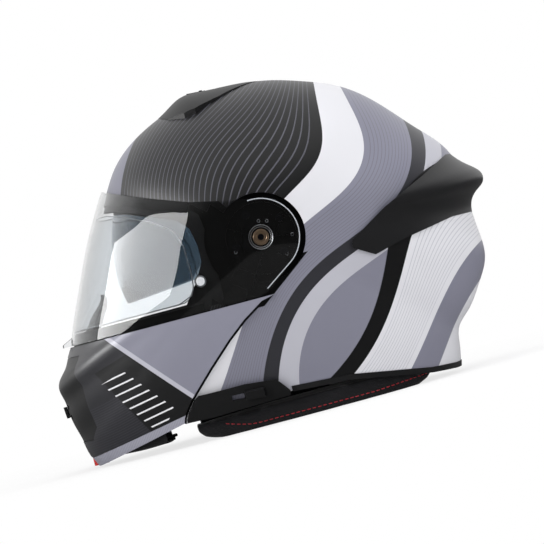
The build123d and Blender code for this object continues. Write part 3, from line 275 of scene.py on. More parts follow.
# %% [markdown]
# The trims are ABS moulded in a spark-eroded tool, which leaves a fine, even grain. The hinge
# pod under the visor is polished black acetal, and the walls round it are smooth, because any
# grain seen through the visor would speckle. Real grain is 0.1 mm apart. It is drawn at 0.9 mm,
# so that it shows as a faint texture at this picture's scale.

# %% Moulded plastics
def grained(name, colour, roughness, pitch, depth, specular=0.5):
    """Makes a moulded plastic with an even grain, pitch and depth in millimetres."""
    material, tree, shader = new_material(name, Base_Color=linear(colour), Roughness=roughness, IOR=1.53,
                                          Specular_IOR_Level=specular)
    grain = add_node(tree, "TexVoronoi", {"Vector": place(tree), "Scale": 1 / (pitch * MM)})
    bump(tree, shader, grain.outputs["Distance"], depth * MM, 0.5)
    return material


black_abs = grained("grained_black_abs", "#0d0d0f", 0.5, 0.9, 0.06, specular=0.4)
seat_abs = grained("smooth_black_abs_under_the_visor", "#060607", 0.4, 6.0, 0.002, specular=0.2)
spoiler_abs = grained("satin_black_spoiler_abs", "#161618", 0.4, 1.2, 0.03)
polished_acetal = grained("polished_black_acetal", "#050506", 0.3, 6.0, 0.002, specular=0.2)
red_button = grained("red_polycarbonate_button", "#d8261c", 0.3, 1.0, 0.03)
seal_rubber = grained("black_silicone_rubber", "#121214", 0.65, 0.8, 0.05)

# %% [markdown]
# The visor is injection-moulded polycarbonate, optically clear, with an IOR of 1.58. It is set
# to 1.45 here, like a hard coat, so that reflections don't hide what lies behind. The sheet has
# real thickness, which bends light at the rims. The inner sun visor is the same plastic dyed
# smoke grey.

# %% Clear and smoked polycarbonate
clear_polycarbonate, _, _ = new_material(
    "clear_polycarbonate", Base_Color=linear("#fbfcfd"), Roughness=0.01, IOR=1.45, Transmission_Weight=1.0)
anti_fog_film, _, _ = new_material(
    "clear_anti_fog_film", Base_Color=linear("#f4f7f9"), Roughness=0.03, IOR=1.4, Transmission_Weight=1.0)
smoked_polycarbonate, _, _ = new_material(
    "smoked_polycarbonate", Base_Color=linear("#7e8d98"), Roughness=0.02, IOR=1.45, Transmission_Weight=1.0)
# An opaque light grey. On the visor ear's edge it is a painted highlight, and on the anti-fog seal it is the
# bead's own light grey.
ear_highlight_and_seal_grey = grained("painted_highlight_ear_edge_and_grey_seal", "#b4b9c0", 0.2, 2.0, 0.01)
pin_nylon = grained("light_grey_nylon_pins", "#c9ccd0", 0.35, 1.0, 0.03)

# %% [markdown]
# The bushings are turned from brass bar, gone brown with age and grease. The pod's screws and
# washers are black-oxide steel, and the buckle and the strikers are zinc-plated. Turning leaves
# rings round the hinge axis, which spread the highlight, so a radial wave drives a faint bump.

# %% Metals
def metal(name, colour, roughness):
    """Makes a metal with fine pits in its surface."""
    material, tree, shader = new_material(name, Base_Color=linear(colour), Metallic=1.0,
                                          Roughness=roughness)
    speckle = add_node(tree, "TexNoise", {"Vector": place(tree), "Scale": 1500.0})
    bump(tree, shader, speckle.outputs["Fac"], 0.02 * MM, 0.3)
    return material


turned_brass, tree, shader = new_material(
    "aged_turned_brass", Base_Color=linear("#b39a82"), Metallic=1.0, Roughness=0.34)
rings = add_node(tree, "TexWave", {"Vector": place(tree), "Scale": 300.0}, wave_type="RINGS",
                 rings_direction="Y")
bump(tree, shader, rings.outputs["Fac"], 0.02 * MM, 0.3)
plated_steel = metal("zinc_plated_steel", "#b9bcc2", 0.3)
bright_ring = metal("bright_turned_steel_rings", "#d6d8dc", 0.35)
black_oxide = metal("black_oxide_steel", "#2a2a2e", 0.38)

# %% [markdown]
# Inside, expanded polystyrene beads about 3 mm wide are fused into the liner. Its pads are foam
# under a brushed polyester knit, which has a soft sheen, and the strap is a woven polyester
# webbing whose ribs are 1.5 mm apart.

# %% Foam, knit and webbing
bead_foam, tree, shader = new_material("expanded_polystyrene_beads", Base_Color=linear("#26262a"),
                                       Roughness=0.8)
beads = add_node(tree, "TexVoronoi", {"Vector": place(tree), "Scale": 1 / (3 * MM)})
bump(tree, shader, beads.outputs["Distance"], -0.4 * MM, 0.6)


def knit(name, colour, pitch, sheen):
    """Makes a knitted cloth: two crossed waves of stitches, pitch in millimetres, with mottled dye."""
    material, tree, shader = new_material(name, Roughness=0.9, Sheen_Weight=sheen, Sheen_Roughness=0.4)
    spot = place(tree)
    mottle = add_node(tree, "TexNoise", {"Vector": spot, "Scale": 60.0, "Detail": 3.0})
    tone = add_node(tree, "MapRange", {"Value": mottle.outputs["Fac"], "To Min": 0.8, "To Max": 1.2})
    dyed = add_node(tree, "VectorMath", {0: linear(colour)[:3], "Scale": tone.outputs["Result"]},
                    operation="SCALE")
    tree.links.new(dyed.outputs[0], shader.inputs["Base Color"])
    courses = add_node(tree, "TexWave", {"Vector": spot, "Scale": 0.31 / (pitch * MM), "Distortion": 0.6},
                       bands_direction="Z")
    wales = add_node(tree, "TexWave", {"Vector": spot, "Scale": 0.31 / (pitch * MM), "Distortion": 0.6},
                     bands_direction="DIAGONAL")
    loops = times(tree, courses.outputs["Fac"], wales.outputs["Fac"])
    bump(tree, shader, loops, 0.25 * MM, 0.6)
    return material


pad_knit = knit("brushed_polyester_knit", "#202024", 1.6, 0.25)
roll_knit = knit("neck_roll_stretch_cloth", "#19191c", 1.4, 0.2)
lining_knit = knit("chin_lining_cloth", "#2a2a2e", 1.6, 0.2)
curtain_mesh = knit("chin_curtain_mesh_cloth", "#161618", 1.8, 0.1)
red_thread = grained("red_polyester_thread", "#a81f2a", 0.6, 0.8, 0.05)
webbing, tree, shader = new_material("woven_polyester_webbing", Base_Color=linear("#1a1a1d"),
                                     Roughness=0.75)
ribs = add_node(tree, "TexWave", {"Vector": place(tree), "Scale": 0.31 / (1.5 * MM)}, bands_direction="Y")
bump(tree, shader, ribs.outputs["Fac"], 0.3 * MM, 0.7)

# %% [markdown]
# The outer surfaces are big, smooth and glossy enough to show every facet, so they are modelled
# again as dense meshes from the same outlines as the CAD: a closed curve in the side view that
# shrinks about the hinge towards either side. Outline points are shares of the helmet's length
# and height. Each new skin lies a fraction of a millimetre over the CAD wall that carries it,
# like the coats of primer, colour and lacquer on the real shell.

# %% Outlines in the side view, and how a dome is made from one
LENGTH, HEIGHT = 367.0, 268.0
SHELL_HALF, CHIN_HALF, VISOR_HALF = 123.4, 126.9, 126.1
ROUNDNESS = 2.2
HINGE = np.array([pivot_x, pivot_z]) / MM
shell_shares = [
    (-0.292, 0.771), (-0.264, 0.831), (-0.216, 0.892), (-0.158, 0.936), (-0.083, 0.971),
    (0.005, 0.982), (0.094, 0.975), (0.173, 0.945), (0.253, 0.899), (0.326, 0.817),
    (0.386, 0.726), (0.440, 0.636), (0.456, 0.552), (0.456, 0.470), (0.460, 0.387),
    (0.459, 0.306), (0.429, 0.230), (0.398, 0.172), (0.365, 0.123), (0.358, 0.078),
    (0.350, 0.022), (0.324, -0.082), (0.251, -0.224), (0.123, -0.313), (0.005, -0.328),
    (-0.146, -0.296), (-0.264, -0.224), (-0.366, -0.121), (-0.452, 0.040), (-0.436, 0.224),
    (-0.387, 0.392), (-0.351, 0.541), (-0.330, 0.672),
]
chin_shares = [
    (-0.446, 0.373), (-0.422, 0.466), (-0.381, 0.616), (-0.300, 0.802), (-0.163, 0.940),
    (0.000, 0.978), (0.163, 0.914), (0.313, 0.746), (0.387, 0.485), (0.381, 0.149),
    (0.300, -0.131), (0.163, -0.306), (0.005, -0.343), (-0.148, -0.310), (-0.271, -0.235),
    (-0.373, -0.132), (-0.463, 0.019), (-0.473, 0.056), (-0.478, 0.093), (-0.486, 0.134),
    (-0.491, 0.175), (-0.494, 0.216), (-0.499, 0.254), (-0.495, 0.272), (-0.475, 0.306),
    (-0.459, 0.345),
]
visor_shares = [
    (-0.303, 0.779), (-0.240, 0.884), (-0.168, 0.995), (0.000, 1.080), (0.150, 1.010),
    (0.272, 0.850), (0.365, 0.600), (0.387, 0.336), (0.341, 0.075), (0.218, -0.149),
    (0.027, -0.261), (-0.163, -0.280), (-0.354, -0.168), (-0.458, 0.000), (-0.480, 0.149),
    (-0.469, 0.280), (-0.451, 0.366), (-0.430, 0.438), (-0.394, 0.547), (-0.357, 0.653),
    (-0.327, 0.726),
]


def side(shares):
    """Turns outline shares into side-view points in millimetres."""
    return np.array(shares) * (LENGTH, HEIGHT)


def inset(points, depth):
    """Moves each point of a closed clockwise outline inward by a depth."""
    run = np.roll(points, -1, 0) - np.roll(points, 1, 0)
    run = run / np.linalg.norm(run, axis=1)[:, None]
    return points + depth * np.column_stack((run[:, 1], -run[:, 0]))


def closed_spline(points, count):
    """Samples a smooth closed curve through points, spaced by chord length."""
    points = np.asarray(points, float)
    total = len(points)
    chord = np.linalg.norm(np.roll(points, -1, 0) - points, axis=1)
    matrix, pull = np.zeros((total, total)), np.zeros((total, 2))
    for i in range(total):
        after = (i + 1) % total
        matrix[i, i - 1] += chord[i - 1]
        matrix[i, i] += 2 * (chord[i - 1] + chord[i])
        matrix[i, after] += chord[i]
        pull[i] = 6 * ((points[after] - points[i]) / chord[i] - (points[i] - points[i - 1]) / chord[i - 1])
    bend = np.linalg.solve(matrix, pull)
    starts = np.concatenate(([0], np.cumsum(chord)))
    at = np.arange(count) / count * starts[-1]
    span = np.clip(np.searchsorted(starts, at, side="right") - 1, 0, total - 1)
    after = (span + 1) % total
    width = chord[span][:, None]
    left, right = (starts[span + 1] - at)[:, None], (at - starts[span])[:, None]
    curve = (bend[span] * left ** 3 + bend[after] * right ** 3) / (6 * width)
    curve += (points[span] / width - bend[span] * width / 6) * left
    return curve + (points[after] / width - bend[after] * width / 6) * right


def mesh_object(name, vertices, faces, material=None):
    """Makes a mesh object from vertices in millimetres."""
    mesh = bpy.data.meshes.new(name)
    mesh.from_pydata([tuple(v) for v in np.asarray(vertices) * MM], [], faces)
    mesh.update()
    made = bpy.data.objects.new(name, mesh)
    scene.collection.objects.link(made)
    if material:
        mesh.materials.append(material)
    return made


def dome(name, points, half_width, around=300, across=140):
    """Makes a closed dome mesh whose side outline shrinks about the hinge towards either side."""
    outline = closed_spline(points, around) - HINGE
    vertices = [(HINGE[0], -half_width, HINGE[1])]
    for row in range(1, across):
        angle = math.pi * (row / across - 0.5)
        keep = math.cos(angle) ** (2 / ROUNDNESS)
        share = math.copysign(abs(math.sin(angle)) ** (2 / ROUNDNESS), angle)
        for x, z in outline * keep + HINGE:
            vertices.append((x, share * half_width, z))
    vertices.append((HINGE[0], half_width, HINGE[1]))
    faces = []
    last = len(vertices) - 1
    for column in range(around):
        beside = (column + 1) % around
        faces.append((0, 1 + beside, 1 + column))
        for row in range(across - 2):
            low, high = 1 + row * around, 1 + (row + 1) * around
            faces.append((low + column, low + beside, high + beside, high + column))
        top = 1 + (across - 2) * around
        faces.append((top + column, top + beside, last))
    return mesh_object(name, vertices, faces)


def faced_out(obj, split=False):
    """Turns a closed mesh's faces outward, and may split the many-sided ones."""
    shape = bmesh.new()
    shape.from_mesh(obj.data)
    bmesh.ops.recalc_face_normals(shape, faces=shape.faces)
    if split:
        bmesh.ops.triangulate(shape, faces=[f for f in shape.faces if len(f.verts) > 4])
    shape.to_mesh(obj.data)
    shape.free()
    return obj


def block(name, near_ring, far_ring):
    """Makes a closed block between two rings of corners."""
    count = len(near_ring)
    faces = [tuple(range(count)), tuple(range(2 * count - 1, count - 1, -1))]
    faces += [((i + 1) % count, i, count + i, count + (i + 1) % count) for i in range(count)]
    return faced_out(mesh_object(name, [*near_ring, *far_ring], faces), split=True)


def side_prism(name, points, near=-220.0, far=220.0):
    """Extrudes a side-view outline across the helmet, from y = near to y = far."""
    return block(name, [(x, near, z) for x, z in points], [(x, far, z) for x, z in points])


def front_prism(name, points, back=-121.0):
    """Extrudes a front outline of (y, z) points forward from x = back."""
    return block(name, [(back, y, z) for y, z in points], [(-LENGTH, y, z) for y, z in points])


def tube_faces(base, rows, sides, closed=False):
    """Gives the faces of a tube of rings of corners, with end caps unless it closes on itself."""
    faces = []
    for row in range(rows if closed else rows - 1):
        low, high = base + row * sides, base + (row + 1) % rows * sides
        for step in range(sides):
            beside = (step + 1) % sides
            faces.append((low + step, low + beside, high + beside, high + step))
    if not closed:
        faces.append(tuple(base + step for step in reversed(range(sides))))
        faces.append(tuple(base + (rows - 1) * sides + step for step in range(sides)))
    return faces


def baked(obj):
    """Applies an object's modifiers to its mesh."""
    evaluated = obj.evaluated_get(bpy.context.evaluated_depsgraph_get())
    mesh = bpy.data.meshes.new_from_object(evaluated)
    obj.modifiers.clear()
    obj.data = mesh
    return obj


def combine(target, tool, operation, keep_tool=False):
    """Cuts, joins or intersects a closed mesh with another."""
    step = target.modifiers.new(operation.lower(), "BOOLEAN")
    step.operation, step.object, step.solver = operation, tool, "MANIFOLD"
    baked(target)
    if not keep_tool:
        bpy.data.objects.remove(tool)
    return target


def finish_mesh(obj, material, degrees=32):
    """Gives a mesh its one material and smooth shading, with sharp edges above an angle."""
    obj.data.materials.clear()
    obj.data.materials.append(material)
    obj.data.shade_smooth()
    obj.data.set_sharp_from_angle(angle=math.radians(degrees))
    return obj


def dressed(obj, material, body, node=None, degrees=32):
    """Finishes a piece, hangs it on the body that it rides and hides the CAD node that it stands for."""
    finish_mesh(obj, material, degrees)
    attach(obj, body)
    if node:
        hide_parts(node)
    return obj


# %% The shell's lacquer, cut away at the eye port, the lower edge and the two hinge wells
shell_points, chin_points, visor_points = side(shell_shares), side(chin_shares), side(visor_shares)
LACQUER_LIFT, LACQUER_DEPTH = 0.3, 0.8
shell_opening_shares = [
    (-0.900, 0.735), (-0.294, 0.735), (-0.245, 0.709), (-0.196, 0.681), (-0.142, 0.657),
    (-0.125, 0.627), (-0.117, 0.560), (-0.117, 0.448), (-0.120, 0.418), (-0.136, 0.362),
    (-0.150, 0.300), (-0.180, 0.219), (-0.215, 0.172), (-0.240, 0.140), (-0.259, 0.090),
    (-0.259, 0.072), (-0.249, 0.065), (-0.016, 0.082), (0.047, 0.077), (0.113, 0.071),
    (0.219, 0.044), (0.283, 0.027), (0.339, 0.019), (0.900, 0.019), (0.900, -0.900),
    (-0.900, -0.900),
]
WELL_RADIUS, FAN_RADIUS, INNER_FAN_RADIUS = 34.4, 60.0, 46.2


def polar(radius, degrees):
    """Gives a side-view point about the hinge, with the angle from straight ahead upward."""
    angle = math.radians(degrees)
    return (HINGE[0] - radius * math.cos(angle), HINGE[1] + radius * math.sin(angle))


def arc(radius, start, stop, steps=24):
    """Gives side-view points along an arc about the hinge."""
    return [polar(radius, start + (stop - start) * step / steps) for step in range(steps + 1)]


def skin_over(name, points, half_width, lift=LACQUER_LIFT, depth=LACQUER_DEPTH):
    """Makes a thin closed skin that stands a little proud of a CAD form."""
    outer = dome(name, inset(points, -lift), half_width + lift)
    inner = dome(name + "_inside", inset(points, depth - lift), half_width + lift - depth)
    return combine(outer, inner, "DIFFERENCE")


shell_skin = skin_over("shell_lacquer", shell_points, SHELL_HALF)
combine(shell_skin, side_prism("opening", side(shell_opening_shares)), "DIFFERENCE")
for near, far in ((-220.0, -60.0), (60.0, 220.0)):
    combine(shell_skin, side_prism("well", arc(WELL_RADIUS, 0, 345, 60), near, far), "DIFFERENCE")
    combine(shell_skin, side_prism("fan", [HINGE, *arc(FAN_RADIUS, -64, 40)], near, far), "DIFFERENCE")
    combine(shell_skin, side_prism("inner_fan", [HINGE, *arc(INNER_FAN_RADIUS, -70, 48)], near, far),
            "DIFFERENCE")
visor_top_shares = [(-0.900, 1.150), (-0.303, 0.781), (-0.255, 0.751), (-0.205, 0.722), (-0.124, 0.680),
                    (-0.061, 0.660)]
brow = [*side(visor_top_shares), HINGE, (-0.117 * LENGTH, 0.376 * HEIGHT), (-LENGTH, 0.376 * HEIGHT)]
combine(shell_skin, side_prism("brow", brow), "DIFFERENCE")
foot = [(33.8, 122), (22.0, 113.2), (0.5, 97.2), (-9.2, 90), (-26, 90), (-26, 122)]
combine(shell_skin, side_prism("foot", foot), "DIFFERENCE")
vent_hole = [(-38, 250), (6, 250), (6, 290), (-38, 290)]
combine(shell_skin, side_prism("vent_hole", vent_hole, -18.0, 18.0), "DIFFERENCE")
seam_shares = [
    (-0.028, 0.352), (-0.073, 0.314), (-0.116, 0.268), (-0.169, 0.202), (-0.205, 0.154),
    (-0.226, 0.126), (-0.243, 0.095), (-0.248, 0.082), (-0.251, 0.068), (-0.450, 0.006),
    (-0.470, 0.004), (-0.900, 0.004),
]
SEAM_BEHIND, SEAM_AHEAD = np.array([1.2, -1.3]), np.array([-2.0, 2.2])
joint_line = side(seam_shares[:9])
seam_band = [*(joint_line + SEAM_BEHIND), *(joint_line + SEAM_AHEAD)[::-1]]
combine(shell_skin, side_prism("seam", seam_band), "DIFFERENCE")
dressed(shell_skin, shell_lacquer, "helmet")
print("shell lacquer faces", len(shell_skin.data.polygons))

# %% [markdown]
# The chin bar is a second moulding with the same lacquer. Its skin is cut from its own dome at
# the seam with the shell and at the visor's seat, and opened where other pieces sit in it.

# %% The chin bar's lacquer, open where the front vent and the release button sit
CHIN_TOP = 0.362 * HEIGHT
window_shares = [(0.44, 0.335), (0.50, 0.250), (0.46, 0.120), (0.36, 0.085)]


half_window = [(y * CHIN_HALF, z * HEIGHT) for y, z in window_shares]
window = half_window + [(-y, z) for y, z in reversed(half_window)]
notch = [(15.3, -50.0), (15.3, 9.4), (-15.3, 9.4), (-15.3, -50.0)]
chin_region = [(0.004 * LENGTH, CHIN_TOP), *side(seam_shares), (-LENGTH, CHIN_TOP)]
chin_skin = skin_over("chin_bar_lacquer", chin_points, CHIN_HALF)
combine(chin_skin, side_prism("region", chin_region), "INTERSECT")
combine(chin_skin, front_prism("window", window), "DIFFERENCE")
combine(chin_skin, front_prism("notch", notch), "DIFFERENCE")
dressed(chin_skin, chin_lacquer, "chin_assembly")
print("chin lacquer faces", len(chin_skin.data.polygons))

# %% [markdown]
# The visor is a single curved sheet with a round ear over each hinge. It is cut from the same
# kind of dome, with a hole for each hinge boss and each pin of the anti-fog
# insert. It is 1.7 mm thick, a little less than the real 2.2 mm, which keeps it clear of the
# lacquer when the chin bar is up. A small tab at its lower edge is what the rider's thumb lifts.

# %% The visor, its anti-fog insert and the insert's seal
VISOR_WALL, BOSS_HOLE, PIN_HOLE = 1.7, 9.95, 3.4
VISOR_BOTTOM = 0.3655 * HEIGHT
visor_region = [*side(visor_top_shares), *arc(30.5, 90, 235, 32), (-0.006 * LENGTH, 0.376 * HEIGHT),
                (-0.027 * LENGTH, VISOR_BOTTOM), (-LENGTH, VISOR_BOTTOM)]
insert_pin = side([(-0.141, 0.4515)])[0]


def ring(centre, radius, steps=48):
    """Gives a circle's side-view points."""
    turns = [math.tau * step / steps for step in range(steps)]
    return [(centre[0] + radius * math.cos(turn), centre[1] - radius * math.sin(turn)) for turn in turns]


visor = dome("visor_shield", visor_points, VISOR_HALF, around=360, across=160)
combine(visor, dome("visor_inside", inset(visor_points, VISOR_WALL), VISOR_HALF - VISOR_WALL, 360, 160),
        "DIFFERENCE")
combine(visor, side_prism("region", visor_region), "INTERSECT")
combine(visor, side_prism("boss_hole", ring(HINGE, BOSS_HOLE)), "DIFFERENCE")
combine(visor, side_prism("pin_hole", ring(insert_pin, PIN_HOLE)), "DIFFERENCE")
tab_shares = [(-0.4415, 0.390), (-0.466, 0.374), (-0.467, 0.3655), (-0.4465, 0.3655)]
combine(visor, side_prism("tab", side(tab_shares), -14.0, 14.0), "UNION")
dressed(visor, clear_polycarbonate, "visor_assembly", "visor")
print("visor faces", len(visor.data.polygons))

insert_shares = [
    (-0.470, 0.402), (-0.196, 0.402), (-0.165, 0.418), (-0.157, 0.440), (-0.154, 0.470),
    (-0.155, 0.560), (-0.168, 0.612), (-0.207, 0.650), (-0.251, 0.680), (-0.300, 0.705),
    (-0.470, 0.705),
]
INSERT_DEPTH, INSERT_WALL = 2.4, 0.8
insert = dome("anti_fog_sheet", inset(visor_points, INSERT_DEPTH), VISOR_HALF - INSERT_DEPTH)
inner_depth = INSERT_DEPTH + INSERT_WALL
combine(insert, dome("sheet_inside", inset(visor_points, inner_depth), VISOR_HALF - inner_depth),
        "DIFFERENCE")
combine(insert, side_prism("region", side(insert_shares)), "INTERSECT")
dressed(insert, anti_fog_film, "visor_assembly", "anti_fog_insert")

# %% [markdown]
# A silicone seal lines the eye port. Its lip is narrow over the brow and widens towards the
# lower corners, where it closes the gap between the shell's edge and the chin bar.

# %% The eye port's seal
SEAL_IN, SEAL_THICK, HINGE_ROOM = 1.6, 3.2, 43.6
seal_form = dome("eye_port_seal", inset(shell_points, SEAL_IN), SHELL_HALF - SEAL_IN)
seal_depth = SEAL_IN + SEAL_THICK
combine(seal_form, dome("seal_inside", inset(shell_points, seal_depth), SHELL_HALF - seal_depth),
        "DIFFERENCE")
seal_lip = [(-200, 192.5), (-108, 192.5), (-90.5, 185.6), (-73, 178.0), (-57.5, 171.0), (-49.5, 162.0),
            (-46.7, 147.4), (-47.1, 135.3), (-54.2, 122.5), (-65.6, 107.5), (-72, 98.0)]
seal_back = [(-38, 98.0), (-37, 122), (-37, 150), (-40, 171), (-50, 181), (-72, 187.5), (-90, 196),
             (-108, 202.5),
             (-200, 202.5)]
combine(seal_form, side_prism("band", [*seal_lip, *seal_back]), "INTERSECT")
combine(seal_form, side_prism("hinge_room", arc(HINGE_ROOM, 0, 345, 60)), "DIFFERENCE")
dressed(seal_form, seal_rubber, "helmet", "brow_gasket")
print("eye port seal faces", len(seal_form.data.polygons))

# %% [markdown]
# The sun visor is a dyed sheet of its own that turns about the same hinges, inside the clear
# one. Its outline is a fan about the hinge axis, with an arm to each hub and an arch cut in
# its lower edge over the nose.

# %% The inner sun visor
SUN_RADIUS, SUN_WALL, SUN_HALF, SUN_INNER_REACH = 118.4, 2.2, 105.6, 49.0
SUN_LOW, SUN_HIGH, SUN_ARM_ANGLE, SUN_ARM_HALF, SUN_HUB, SUN_BORE = -11.0, 32.0, 12.0, 9.0, 9.5, 4.1


def spoke(degrees, half_width, reach):
    """Gives the side-view corners of a bar that runs out from the hinge."""
    angle = math.radians(degrees)
    along, across = np.array([-math.cos(angle),
                              math.sin(angle)]), np.array([math.sin(angle), math.cos(angle)])
    return [HINGE - half_width * across, HINGE + reach * along - half_width * across,
            HINGE + reach * along + half_width * across, HINGE + half_width * across]


sun_visor = dome("sun_visor_sheet", arc(SUN_RADIUS, 0, 345, 23), SUN_HALF, 300, 160)
combine(sun_visor, dome("sun_inside", arc(SUN_RADIUS - SUN_WALL, 0, 345, 23), SUN_HALF - SUN_WALL, 300,
                        160),
        "DIFFERENCE")
sun_fan = [*arc(SUN_RADIUS + 3, SUN_LOW, SUN_HIGH), *arc(SUN_INNER_REACH, SUN_HIGH, -8), (-58, 124.2)]
sun_region = side_prism("fan", sun_fan)
combine(sun_region, side_prism("arm", spoke(SUN_ARM_ANGLE, SUN_ARM_HALF, SUN_INNER_REACH + SUN_ARM_HALF)),
        "UNION")
combine(sun_region, side_prism("hub", ring(HINGE, SUN_HUB)), "UNION")
combine(sun_visor, sun_region, "INTERSECT")
combine(sun_visor, side_prism("bore", ring(HINGE, SUN_BORE)), "DIFFERENCE")
NOSE_HALF, NOSE_TOP, NOSE_BOTTOM = 24.0, 141.0, 100.0
arch = [(NOSE_HALF * math.cos(turn), NOSE_BOTTOM + (NOSE_TOP - NOSE_BOTTOM) * math.sin(turn) ** 0.8)
        for turn in np.linspace(0, math.pi, 33)]
combine(sun_visor, front_prism("arch", arch, back=-60.0), "DIFFERENCE")
dressed(sun_visor, smoked_polycarbonate, "sun_visor", "sun_visor")
print("sun visor faces", len(sun_visor.data.polygons))

# %% [markdown]
# The smaller mouldings keep their CAD form, which is already right for them, and only get the
# finish of what they are made of.

# %% Finishes of the CAD pieces that stay
finishes = {
    seat_abs: ["shell", "chin_bar"],
    black_abs: ["control_housing_left", "side_trim_right", "sun_visor_lever", "chin_vent_cover",
                "chin_vent_shutter", "breath_deflector", "strap_tongue", "buckle_lever", "crown_vent_base",
                "crown_vent_slider", "latch_hook_left", "latch_hook_right"],
    spoiler_abs: ["rear_spoiler"],
    polished_acetal: ["mechanism_plate_left", "mechanism_plate_right", "visor_release_left",
                      "visor_release_right"],
    pin_nylon: ["insert_pins"],
    seal_rubber: ["shell_edge_trim", "brow_gasket", "chin_gasket"],
    bead_foam: ["impact_liner"],
    turned_brass: ["pivot_bushing_left", "pivot_bushing_right"],
    black_oxide: ["pivot_washer_left", "pivot_washer_right", "plate_screws_left", "plate_screws_right"],
    plated_steel: ["striker_left", "striker_right", "strap_rivets", "buckle_body"],
    red_button: ["release_button"],
}
for material, names in finishes.items():
    for name in names:
        data = nodes[name].data
        data.materials.clear()
        data.materials.append(material)

# %% [markdown]
# Fine lines catch the light round the hinge: a painted highlight along the edge of the visor's ear,
# drawn as an opaque light grey wire, two turned rings round the bushing, the seal bead of the
# anti-fog sheet, and the ribs, studs and catches moulded on the pod. Each is a thin round wire
# laid on the surface that carries it.

# %% Wires laid on a surface
def skin_of(obj):
    """Gives a search tree of an object's surface."""
    return BVHTree.FromObject(obj, bpy.context.evaluated_depsgraph_get())


def cast_in(skin, origin, target):
    """Gives the first point of a skin on the way from an outer point to an inner one, in millimetres."""
    way = (Vector(target) - Vector(origin)).normalized()
    found, _, _, _ = skin.ray_cast(Vector(origin) * MM, way)
    return None if found is None else np.array(found) / MM


def on_side(skin, points, sign, lift=0.0):
    """Lays side-view points on one side of a skin, lifted outward, and leaves out those that miss it."""
    found = [cast_in(skin, (x, sign * 300, z), (x, 0, z)) for x, z in points]
    return [spot + (0, sign * lift, 0) for spot in found if spot is not None and sign * spot[1] > 60]


def wires(name, paths, radius, material, body, closed=False):
    """Makes thin round wires along paths, with sizes in millimetres, as one closed mesh each."""
    vertices, faces, sides = [], [], 8
    for path in paths:
        path = np.array(path)
        count = len(path)
        run = np.roll(path, -1, 0) - np.roll(path, 1, 0)
        if not closed:
            run[0], run[-1] = path[1] - path[0], path[-1] - path[-2]
        base = len(vertices)
        for spot, way in zip(path, run):
            way = way / np.linalg.norm(way)
            first = np.cross(way, (0.13, 0.98, 0.15))
            first = first / np.linalg.norm(first)
            second = np.cross(way, first)
            for step in range(sides):
                turn = math.tau * step / sides
                vertices.append(spot + radius * (math.cos(turn) * first + math.sin(turn) * second))
        faces += tube_faces(base, count, sides, closed)
    return dressed(mesh_object(name, vertices, faces), material, body, degrees=60)


def resampled(points, step=1.0):
    """Spaces points evenly along a side-view path, so that a wire follows the surface."""
    points = np.array(points, float)
    gaps = np.linalg.norm(np.diff(points, axis=0), axis=1)
    along = np.concatenate(([0], np.cumsum(gaps)))
    at = np.linspace(0, along[-1], max(2, int(along[-1] / step)))
    return np.column_stack((np.interp(at, along, points[:, 0]), np.interp(at, along, points[:, 1])))


# %% The painted highlight on the ear's edge, the rings round the bushing and the anti-fog seal
INNER_RING, OUTER_RING, RING_WIRE = 7.9, 9.3, 0.42
visor_skin = skin_of(visor)
ear_highlight_path = [*arc(29.6, 84, 234, 90), (-3.4, 102.4)]
insert_skin = skin_of(insert)
for side_name, sign in (("left", -1), ("right", 1)):
    # The ear's edge wire is a painted highlight: an opaque light grey line along the clear rim.
    edge = on_side(visor_skin, resampled(ear_highlight_path, 1.5), sign, 0.05)
    wires("visor_ear_painted_highlight_" + side_name, [edge], 0.42, ear_highlight_and_seal_grey, "visor_assembly")
    washer_skin = skin_of(nodes["pivot_washer_" + side_name])
    plate_skin = skin_of(nodes["mechanism_plate_" + side_name])
    inner = on_side(washer_skin, ring(HINGE, INNER_RING, 72), sign, 0.1)
    outer = on_side(plate_skin, ring(HINGE, OUTER_RING, 72), sign, 0.1)
    wires("bushing_rings_" + side_name, [inner, outer], RING_WIRE, bright_ring, "chin_assembly",
          closed=True)
    print(side_name, "wire points", len(edge), len(inner), len(outer))

RING_CENTRE_X, SEAL_TOP, SEAL_BOTTOM = -60.0, 0.705 * HEIGHT, 0.402 * HEIGHT
top_arc, bottom_arc = [], []
for degrees in np.arange(-80, 80.1, 2.0):
    turn = math.radians(degrees)
    for level, path, rear in ((SEAL_TOP, top_arc, -110.1), (SEAL_BOTTOM, bottom_arc, -71.9)):
        far = (RING_CENTRE_X - 300 * math.cos(turn), 300 * math.sin(turn), level - 0.3)
        spot = cast_in(insert_skin, far, (RING_CENTRE_X, 0, level - 0.3 * math.copysign(1, level - 150)))
        if spot is not None and spot[0] < rear:
            path.append(spot)
left_rear = on_side(insert_skin, resampled(side(insert_shares[1:10]), 1.5) + (-0.4, 0), -1)
right_rear = on_side(insert_skin, resampled(side(insert_shares[1:10]), 1.5) + (-0.4, 0), 1)
seal = [*top_arc, *right_rear[::-1], *bottom_arc[::-1], *left_rear]
# The seal bead is drawn in the same light grey as the painted highlight on the ear's edge.
wires("anti_fog_seal", [seal], 0.45, ear_highlight_and_seal_grey, "visor_assembly", closed=True)
print("seal points", len(top_arc), len(right_rear), len(bottom_arc), len(left_rear))

# %% [markdown]
# Each bushing is turned on a lathe, with a stepped face round a dark screw. A profile of radius
# and height, spun about the hinge axis, gives the steps, as the lathe does.

# %% The turned face of each bushing
def turned(name, profile, face_y, sign, material, body, steps=64):
    """Turns a closed form about the hinge axis from (radius, height above a face) points in millimetres."""
    vertices = []
    for radius, height in profile:
        for step in range(steps):
            turn = math.tau * step / steps
            vertices.append((HINGE[0] + radius * math.cos(turn), face_y + sign * height,
                             HINGE[1] + radius * math.sin(turn)))
    made = mesh_object(name, vertices, tube_faces(0, len(profile), steps))
    return dressed(faced_out(made), material, body, degrees=30)


